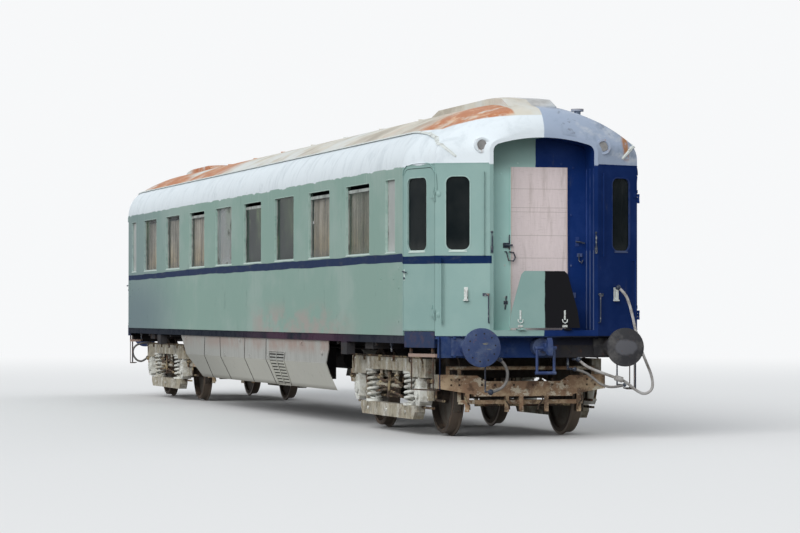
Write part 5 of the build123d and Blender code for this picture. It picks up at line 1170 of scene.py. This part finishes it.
def end_trims():
    """Lamp irons and catches of the corners, fittings and ribs of the portal, rivets of the headstock, holes
    of the blue buffer's face as dark discs of painted shade, and straps of the bridge plate; all mirrored to
    the rear end."""
    both = Trim()
    both.plate(CORNER, 0.335, 0.395, 1.6, 1.615, 0.0, 0.045)
    both.plate(CORNER, 0.342, 0.388, 1.6, 1.76, 0.0, 0.006)
    both.plate(CORNER, 0.348, 0.382, 1.615, 1.735, 0.036, 0.042)
    for z in (1.63, 1.73):
        both.stud(CORNER, 0.365, z, 0.008, 0.012)
    both.all_round().piece("lamp_irons", "coach", "pale_fitting")
    both = Trim()
    both.rod(CORNER, [(0.634, 1.345, 0.0), (0.634, 1.35, 0.03), (0.634, 1.4, 0.034), (0.634, 1.66, 0.034),
        (0.634, 1.675, 0.028), (0.634, 1.68, 0.0)], 0.008)
    both.plate(CORNER, 0.56, 0.625, 1.655, 1.69, 0.0, 0.008)
    knob = [(0.0, 0.006), (0.03, 0.006), (0.034, 0.013), (0.046, 0.015), (0.056, 0.008)]
    both.lathe(knob, END(-0.64, 2.36), (0, 0, 1), 12)
    both.plate(END, -0.655, -0.625, 2.16, 2.24, 0.0, 0.012)
    both.rod(END, [(-0.64, 2.18, 0.01), (-0.64, 2.36, 0.016)], 0.009)
    both.all_round().piece("end_latches", "coach", "worn_steel")
    wall = Trim()
    for y, z in ((-0.221, 3.225), (-0.429, 3.1), (-0.429, 2.356), (-0.38, 2.02), (-0.38, 1.645),
            (-0.38, 1.54), (0.32, 3.225), (0.468, 3.18), (0.44, 1.64), (0.44, 2.02), (0.44, 2.62)):
        wall.stud(BULKHEAD, y, z, 0.013, 0.008)
    wall.plate(BULKHEAD, 0.492, 0.542, 2.25, 2.36, 0.0, 0.006)
    wall.plate(BULKHEAD, 0.515, 0.575, 2.125, 2.165, 0.0, 0.02)
    wall.plate(BULKHEAD, 0.46, 0.5, 1.64, 1.7, 0.0, 0.008)
    grips = Trim()
    grips.rod(BULKHEAD, [(-0.375, 2.18, 0.0), (-0.375, 2.18, 0.05), (-0.35, 2.075, 0.06),
        (-0.29, 2.07, 0.06), (-0.27, 2.11, 0.06), (-0.285, 2.17, 0.05), (-0.34, 2.18, 0.03)], 0.009)
    grips.rod(BULKHEAD, [(-0.325, 2.205, 0.004), (-0.325, 2.38, 0.012)], 0.008)
    grips.plate(BULKHEAD, -0.402, -0.33, 2.225, 2.285, 0.0, 0.012)
    grips.rod(BULKHEAD, [(-0.395, 2.255, 0.012), (-0.35, 2.255, 0.05), (-0.3, 2.255, 0.05)], 0.012)
    grips.rod(BULKHEAD, [(0.5, 2.305, 0.006), (0.54, 2.3, 0.04), (0.6, 2.285, 0.044)], 0.01)
    grips.rod(BULKHEAD, [(0.535, 2.16, 0.02), (0.53, 2.08, 0.03), (0.56, 2.05, 0.03), (0.585, 2.09, 0.03)],
        0.007)
    grips.plate(BULKHEAD, -0.395, -0.345, 1.56, 1.6, 0.0, 0.012)
    grips.rod(BULKHEAD, [(-0.38, 1.5, 0.01), (-0.365, 1.66, 0.014)], 0.008)
    grips.mirrored(0).piece("bulkhead_grips", "coach", "worn_steel")
    for x in (10.375, 10.25, 10.12):
        for y in (-0.62, 0.62):
            wall.tube([(x, y, BODY_BOTTOM + 0.03), (x, y, FLANGE + 3.16)], 0.008, 8)
    for y0, y1 in ((-0.317, -0.309), (0.392, 0.4)):
        wall.plate(BULKHEAD, y0, y1, 1.27, 3.18, 0.0, 0.018)
    wall.mirrored(0).piece("bulkhead_fittings", "coach", "surround_paint")
    rivets = Trim()
    head = facing_x(HEADSTOCK_X)
    for y in (-1.023, -0.62, -0.4, 0.4, 0.62, 1.023):
        for z in (1.166, 1.073, 0.991):
            rivets.lathe([(0, 0.013), (0.004, 0.011), (0.008, 0.004)], head(y, z), (1, 0, 0), 8)
    for y in (-BUFFER_Y, BUFFER_Y):
        for dy in (-0.165, 0.165):
            for dz in (-0.105, 0.105):
                rivets.bolt((10.21, y + dy, BUFFER_Z + dz), (1, 0, 0), 0.02, 0.018)
    rivets.mirrored(0).piece("headstock_rivets", "coach", "underframe_black")
    # Painted shade: the holes of the buffer's face are near-black discs.
    holes = Trim()
    for a in np.radians(np.arange(9, 360, 36)):
        place = (BUFFER_FACE_X, 0.162 * np.cos(a) - BUFFER_Y, 0.162 * np.sin(a) + BUFFER_Z)
        holes.lathe([(-0.004, 0.01), (0.0012, 0.01)], place, (1, 0, 0), 12)
    holes.mirrored(0).piece("buffer_face_holes", "coach", "painted_shade_slot")
    straps = Trim()
    plate = facing_x(BRIDGE_X)
    for y in (-0.3, 0.245):
        straps.plate(plate, y - 0.01, y + 0.01, 1.38, 1.49, 0.0, 0.006)
        straps.plate(plate, y - 0.03, y + 0.03, 1.292, 1.318, 0.0, 0.008)
        straps.rod(plate, [(y - 0.03, 1.385, 0.006), (y - 0.026, 1.355, 0.012), (y, 1.34, 0.014),
            (y + 0.026, 1.355, 0.012), (y + 0.03, 1.385, 0.006)], 0.006)
        for z in (1.4, 1.44, 1.48):
            straps.bolt(plate(y, z, 0.006), (1, 0, 0), 0.009, 0.006)
    straps.flipped(1, 1).piece("bridge_straps_front", "bridge_plate_front", "pale_fitting")
    straps.flipped(-1, 1).piece("bridge_straps_rear", "bridge_plate_rear", "pale_fitting")


# Skirt furniture: the skirt's section, from its top over the knee to its foot

SKIRT_Z = np.array([0.43, 0.79, 1.095])
SKIRT_Y = np.array([HALF_W - 0.235, HALF_W - 0.05, HALF_W - 0.035])


def skirt_at(x, z, n=0.0):
    """Place on the right skirt, z above the rail and n out along its own slope."""
    x, z, n = np.broadcast_arrays(*(np.asarray(q, float) for q in (x, z, n)))
    low = z < SKIRT_Z[1]
    y = np.interp(z, SKIRT_Z, SKIRT_Y)
    tilt = np.where(low, math.atan2(SKIRT_Y[1] - SKIRT_Y[0], SKIRT_Z[1] - SKIRT_Z[0]), 0.05)
    return np.stack([x, -y - n * np.cos(tilt), z + FLANGE - n * np.sin(tilt)], -1)


def skirt_trims():
    """Joints, hooks and knee latches of the skirts, and the louvres of the right one; joint lines and louvre
    gaps are painted shade.
    """
    dark, work = Trim(), Trim()
    # Painted shade: dark tubes along the joints, the shadow under the overlapping panel lips.
    for top, foot in ((-2.61, -2.88), (-1.45, -1.5), (0.37, 0.15), (1.81, 1.63)):
        z = np.linspace(SKIRT_Z[2] - 0.01, SKIRT_Z[0] + 0.01, 12)
        x = top + (foot - top) * (SKIRT_Z[2] - z) / (SKIRT_Z[2] - SKIRT_Z[0])
        dark.tube(skirt_at(x, z, -0.001), 0.0075, 6)
    for share in np.linspace(0.06, 0.94, 10):
        z = 0.9 - 0.45 * share
        x0, x1 = 2.01 - 0.17 * share, 2.96 - 0.38 * share
        # Painted shade: a dark tile in each gap between the louvres.
        dark.tile(skirt_at, x0, x1, z - 0.011, z + 0.011, 0.001, 0.004)
        work.tile(skirt_at, x0, x1, z + 0.01, z + 0.016, 0.012, 0.013)
    share = np.linspace(0.0, 1.0, 8)
    for x in (1.99 - 0.17 * share, 2.47 - 0.27 * share, 2.98 - 0.38 * share):
        work.tube(skirt_at(x, 0.91 - 0.47 * share, 0.008), 0.008, 6)
    for z, x0, x1 in ((0.915, 1.99, 2.98), (0.437, 1.82, 2.6)):
        work.tube(skirt_at([x0, x1], [z, z], 0.008), 0.008, 6)
    for x in (-4.13, 0.05, 4.03):
        work.tile(skirt_at, x - 0.03, x + 0.03, 1.02, 1.09, 0.006, 0.006)
        work.tube(skirt_at([x, x, x, x], [1.075, 1.05, 1.03, 1.04], [0.0, 0.022, 0.02, 0.008]), 0.007, 8)
    for x in (-2.57, -1.15, 0.65, 1.86):
        work.tile(skirt_at, x - 0.05, x + 0.05, 0.8, 0.83, 0.01, 0.012)
        work.lathe([(0, 0.013), (0.01, 0.013), (0.014, 0.006)], skirt_at(x, 0.845), (0, -1, 0), 10)
    work.lathe([(0, 0.035), (0.014, 0.035), (0.02, 0.02)], skirt_at(5.16, 0.93), (0, -1, 0), 16)
    dark.mirrored(1).piece("skirt_shade_lines", "coach", "painted_shade_slot")
    work.mirrored(1).piece("skirt_fittings", "coach", "skirt_grey")


# Bogie furniture, with heights above the rail

SPRING_X, SPRING_Y = WHEELBASE / 2 - 0.55, 1.04
LOW_X, LOW_Z0, LOW_Z1 = WHEELBASE / 2 - 0.14, 0.165, 0.33
BEAM_Z0, BEAM_Z1 = 0.745, 0.905
BEAM_Y, LOW_Y = -1.11, -1.115
AXLES = (-WHEELBASE / 2, WHEELBASE / 2)
HEAD_X = WHEELBASE / 2 + 0.7
OUTWARD = (0, -1, 0)
LINK_X = (-0.45, 0.3)


def bogie_trims(name, centre):
    """One bogie's lower beams, coil springs, bolts, rods, pipes, brackets and end fittings: made on the right
    side about its own centre, mirrored to the left, then carried to the bogie's place."""
    springs, bolts = Trim(), Trim()
    tip = 0.09
    springs.strip([(-LOW_X + tip, LOW_Z0), (LOW_X - tip, LOW_Z0), (LOW_X, LOW_Z0 + tip), (LOW_X, LOW_Z1),
        (-LOW_X, LOW_Z1), (-LOW_X, LOW_Z0 + tip)], LOW_Y, 0.13)
    turn = np.linspace(0, 1, 121)
    for x in (-SPRING_X, SPRING_X):
        for reach, wire, turns in ((0.079, 0.019, 5.0), (0.045, 0.01, -8.0)):
            a = 2 * np.pi * turns * turn
            z = LOW_Z1 + 0.03 + wire * 0.6 + (BEAM_Z0 - LOW_Z1 - 0.06 - wire * 1.2) * turn
            bolts.tube(np.stack([x + reach * np.cos(a), -SPRING_Y + reach * np.sin(a), z], 1), wire, 9)
        for z, way in ((LOW_Z1, 1), (BEAM_Z0, -1)):
            bolts.lathe([(-0.004, 0.108), (0.024, 0.108), (0.03, 0.1)], (x, -SPRING_Y, z), (0, 0, way), 24)
    for x in AXLES:
        for a in np.radians(np.arange(22.5, 360, 45)):
            bolts.bolt((x + 0.062 * np.cos(a), -1.142, AXLE_H + 0.062 * np.sin(a)), OUTWARD, 0.009, 0.008)
        for dx in (-0.092, 0.092):
            for dz in (-0.105, 0.105):
                bolts.bolt((x + dx, -1.12, AXLE_H + dz), OUTWARD, 0.012, 0.012)
        for dx in (-0.18, 0.18):
            for z in (0.44, 0.6):
                bolts.bolt((x + dx, -1.04, z), OUTWARD, 0.014, 0.012)
    for x in np.linspace(-1.6, 1.6, 15):
        bolts.bolt((x, BEAM_Y, BEAM_Z1 - 0.03), OUTWARD, 0.013, 0.01)
    for x in (-SPRING_X, 0.0, SPRING_X):
        bolts.strip([(x - 0.012, BEAM_Z0 + 0.006), (x + 0.012, BEAM_Z0 + 0.006),
            (x + 0.012, BEAM_Z1 - 0.006), (x - 0.012, BEAM_Z1 - 0.006)], BEAM_Y, -0.014)
        bolts.bolt((x, LOW_Y, LOW_Z0 + 0.082), OUTWARD, 0.022, 0.018)
    gear = Trim()
    gear.tube([(-1.95, -0.93, 0.405), (1.95, -0.93, 0.405)], 0.016)
    gear.tube([(-0.3, -1.0, 0.44), (0.36, -1.0, 0.6), (0.42, -1.0, 0.73)], 0.013)
    pipe_z = BEAM_Z1 + 0.016
    bend = [(-1.66, -1.095, pipe_z - 0.22), (-1.68, -1.12, pipe_z - 0.06), (-1.6, -1.12, pipe_z),
        (-1.5, -1.12, pipe_z)]
    gear.tube(bend + [(-x, y, z) for x, y, z in reversed(bend)], 0.011)
    for x in (-1.1, -0.35, 0.35, 1.1):
        gear.box((x - 0.014, -1.134, BEAM_Z1 - 0.05), (x + 0.014, -1.104, pipe_z + 0.014))
    gear.tube([(-0.62, -1.085, 0.665), (-0.2, -1.09, 0.6), (0.28, -1.09, 0.64), (0.6, -1.085, 0.56)],
        0.02, 10)
    gear.tube([(-0.62, -1.08, 0.465), (-0.1, -1.085, 0.5), (0.6, -1.08, 0.43)], 0.016)
    gear.strip([(0.02, 0.4), (0.07, 0.4), (0.15, 0.72), (0.08, 0.72)], -1.1, -0.018)
    cylinder = [(0, 0.038), (0.26, 0.038), (0.27, 0.024), (0.42, 0.024)]
    gear.lathe(cylinder, (-0.46, -1.05, 0.545), (1, 0, 0), 16)
    for x in LINK_X:
        for z in (0.53, 0.59, 0.68):
            gear.lathe([(0, 0.04), (0.022, 0.04)], (x, -1.06, z - 0.011), (0, 0, 1), 16)
    for x in AXLES:
        out = 1 if x > 0 else -1
        gear.box((x - 0.31, -1.03, LOW_Z1 - 0.03), (x + 0.31, -0.99, LOW_Z1 - 0.004))
        for dx in (-0.245, 0.245):
            gear.strip([(x + dx - 0.05, BEAM_Z0 - 0.06), (x + dx + 0.05, BEAM_Z0 - 0.06),
                (x + dx + 0.02, BEAM_Z0 - 0.2), (x + dx - 0.02, BEAM_Z0 - 0.2)], -1.045, -0.016)
        gear.tube([(x + out * 0.42, -0.985, 0.72), (x + out * 0.44, -1.01, 0.55),
            (x + out * 0.4, -1.0, 0.42)], 0.014)
        pin = [(0, 0.03), (0.06, 0.03), (0.066, 0.018)]
        gear.lathe(pin, (x + out * 0.42, -1.045, 0.64), OUTWARD, 12)
    for end in (-1, 1):
        face = end * HEAD_X
        for y in (-0.9, -0.8, -0.52, -0.36, -0.12):
            gear.bolt((face, y, 0.665), (end, 0, 0), 0.014, 0.01)
            gear.bolt((face, y, 0.6), (end, 0, 0), 0.014, 0.01)
        for y in (-0.7, -0.206):
            gear.tube([(face + end * 0.004, y - 0.03, 0.47), (face + end * 0.022, y - 0.03, 0.42),
                (face + end * 0.022, y + 0.02, 0.36), (face + end * 0.004, y + 0.03, 0.31)], 0.01)
        gear.tube([(face - end * 0.03, -0.6, 0.36), (face - end * 0.03, 0.6, 0.36)], 0.014)
    for heap, part, look, gone in ((springs, "springs", "bogie_paint", (name + "_springs",)),
            (gear, "gear", "under_iron", ()), (bolts, "bolts", "axlebox_paint", ())):
        heap.mirrored(1)
        heap.verts = [v + (centre, 0, FLANGE) for v in heap.verts]
        heap.piece(name + "_" + part + "_work", name, look, instead=gone)


def underfloor_pipes():
    """Brake and heating pipes along the underframe, on brackets, and lashing hooks under the sills."""
    pipes = Trim()
    reach = BOGIE_X - WHEELBASE / 2 - 0.9
    for y, z, r in ((0.64, 0.985, 0.024), (0.76, 1.0, 0.017), (-0.64, 0.985, 0.02)):
        pipes.tube([(-reach, y, FLANGE + z), (reach, y, FLANGE + z)], r, 12)
        for x in np.linspace(-reach + 0.2, reach - 0.2, 7):
            low, high = FLANGE + z - r - 0.004, FLANGE + 1.06
            pipes.box((x - 0.015, y - r - 0.006, low), (x + 0.015, y + r + 0.006, high))
    pipes.piece("underfloor_pipes", "coach", "underframe_black")
    hooks = Trim()
    for x in (-8.54, 8.54):
        hooks.tube([(x, -1.345, FLANGE + 1.1), (x, -1.35, FLANGE + 1.03), (x + 0.02, -1.35, FLANGE + 0.99),
            (x + 0.04, -1.35, FLANGE + 1.03)], 0.009)
        hooks.box((x - 0.03, -1.36, FLANGE + 1.06), (x + 0.03, -1.335, FLANGE + 1.1))
    hooks.mirrored(1).piece("lashing_hooks", "coach", "worn_steel")


# Soft goods: curtains and seats

ROD_R = 0.004
OPEN_WINDOWS = (4, 5)


def curtains():
    """Pleated cloth in each compartment window: drawn together, or pushed aside at the two open ones.
    Over the width u and the drop v, the cloth lies at y = wall + depth * sin(2 pi folds u + lean v), and its
    width swells and shrinks a little with v."""
    inner = HALF_W - WALL_T
    top, foot = WIN_Z1 - 0.075, WIN_Z0 - 0.115
    rods = Heap()
    for k, centre in enumerate(WIN_X):
        for side in (-1, 1):
            y = side * (inner - ROD_R)
            rods.tube([(centre - 0.63, y, top), (centre + 0.63, y, top)], ROD_R, 8)
            share = 0.17 if k in OPEN_WINDOWS and side < 0 else 0.505
            for way in (-1, 1):
                folds = 7 if share < 0.4 else 9
                u, v = np.meshgrid(np.linspace(0, 1, 12 * folds + 1), np.linspace(0, 1, 13), indexing="ij")
                lean = 0.5 * np.sin(k * 2.1 + way) * v
                depth = 0.0105 * (0.8 + 0.2 * np.sin(5.0 * u + k))
                span = share * WIN_W * u * (1 + 0.012 * np.sin(3 * v + k))
                x = centre + way * (WIN_W / 2 + 0.02) - way * span
                y = side * (inner - 0.0155 + depth * np.sin(2 * np.pi * folds * u + lean + k))
                z = top + (foot - top) * v
                verts = np.stack([x, y, z], -1)
                cloth = piece(f"curtain_{k}_{'rl'[side > 0]}{'ab'[way > 0]}", verts.reshape(-1, 3),
                    grid_faces(*u.shape), "coach", "curtain_cloth", 80)
    rods.piece("curtain_rods", "coach", "sash_metal")
    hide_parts("curtains")


def cushion(size, r, puff, n=11):
    """Stuffed block: a box with edges of radius r, whose top is raised by puff * (1 - a^2) * (1 - b^2), where
    a and b run from -1 to 1 along its length and width."""
    a, b = np.meshgrid(np.linspace(-1, 1, n), np.linspace(-1, 1, n), indexing="ij")
    flat = np.stack([a, b, np.ones_like(a)], -1).reshape(-1, 3)
    verts, faces = [], []
    for k in range(3):
        for way in (1, -1):
            faces.append(grid_faces(n, n)[:, ::way] + len(verts) * n * n)
            verts.append(np.roll(flat, k, 1) * way)
    unit, index = np.unique(np.round(np.vstack(verts), 6), axis=0, return_inverse=True)
    half = np.asarray(size, float) / 2
    core = half - r
    inner = np.clip(unit * half, -core, core)
    off = unit * half - inner
    shape = inner + r * off / np.linalg.norm(off, axis=1)[:, None]
    a, b, c = unit.T
    shape[:, 2] += puff * (1 - a ** 2) * (1 - b ** 2) * np.clip(c, 0, 1)
    return shape, index.reshape(-1)[np.vstack(faces)]


def seats():
    """Facing benches in each compartment, a base and a back of stuffed cloth apiece."""
    floor_top = BODY_BOTTOM + 0.06
    wide, wall_gap = 0.972, 0.01
    base, quads = cushion((0.47, wide, 0.43), 0.045, 0.022)
    back, _ = cushion((0.69, wide, 0.088), 0.03, 0.012)
    back = np.stack([back[:, 2], back[:, 1], -back[:, 0]], 1)
    benches, backs = Heap(), Heap()
    y = HALF_W - WALL_T - wall_gap - 0.49
    for centre in WIN_X:
        for way in (-1, 1):
            x = centre + way * (WIN_PITCH / 2 - 0.012)
            for side in (-1, 1):
                benches.add(base + (x - way * 0.24, side * y, floor_top + 0.216), quads)
                place = (x - way * 0.046, side * y, floor_top + 0.8)
                backs.add(back * (-way, 1, 1) + place, quads[:, ::-way])
    benches.piece("seat_cushions", "coach", "seat_fabric", sharp=80, instead=("seats",))
    backs.piece("seat_backs", "coach", "seat_fabric", sharp=80)


wall_trims()
door_trims()
end_trims()
skirt_trims()
bogie_trims("bogie_front", BOGIE_X)
bogie_trims("bogie_rear", -BOGIE_X)
underfloor_pipes()
curtains()
seats()
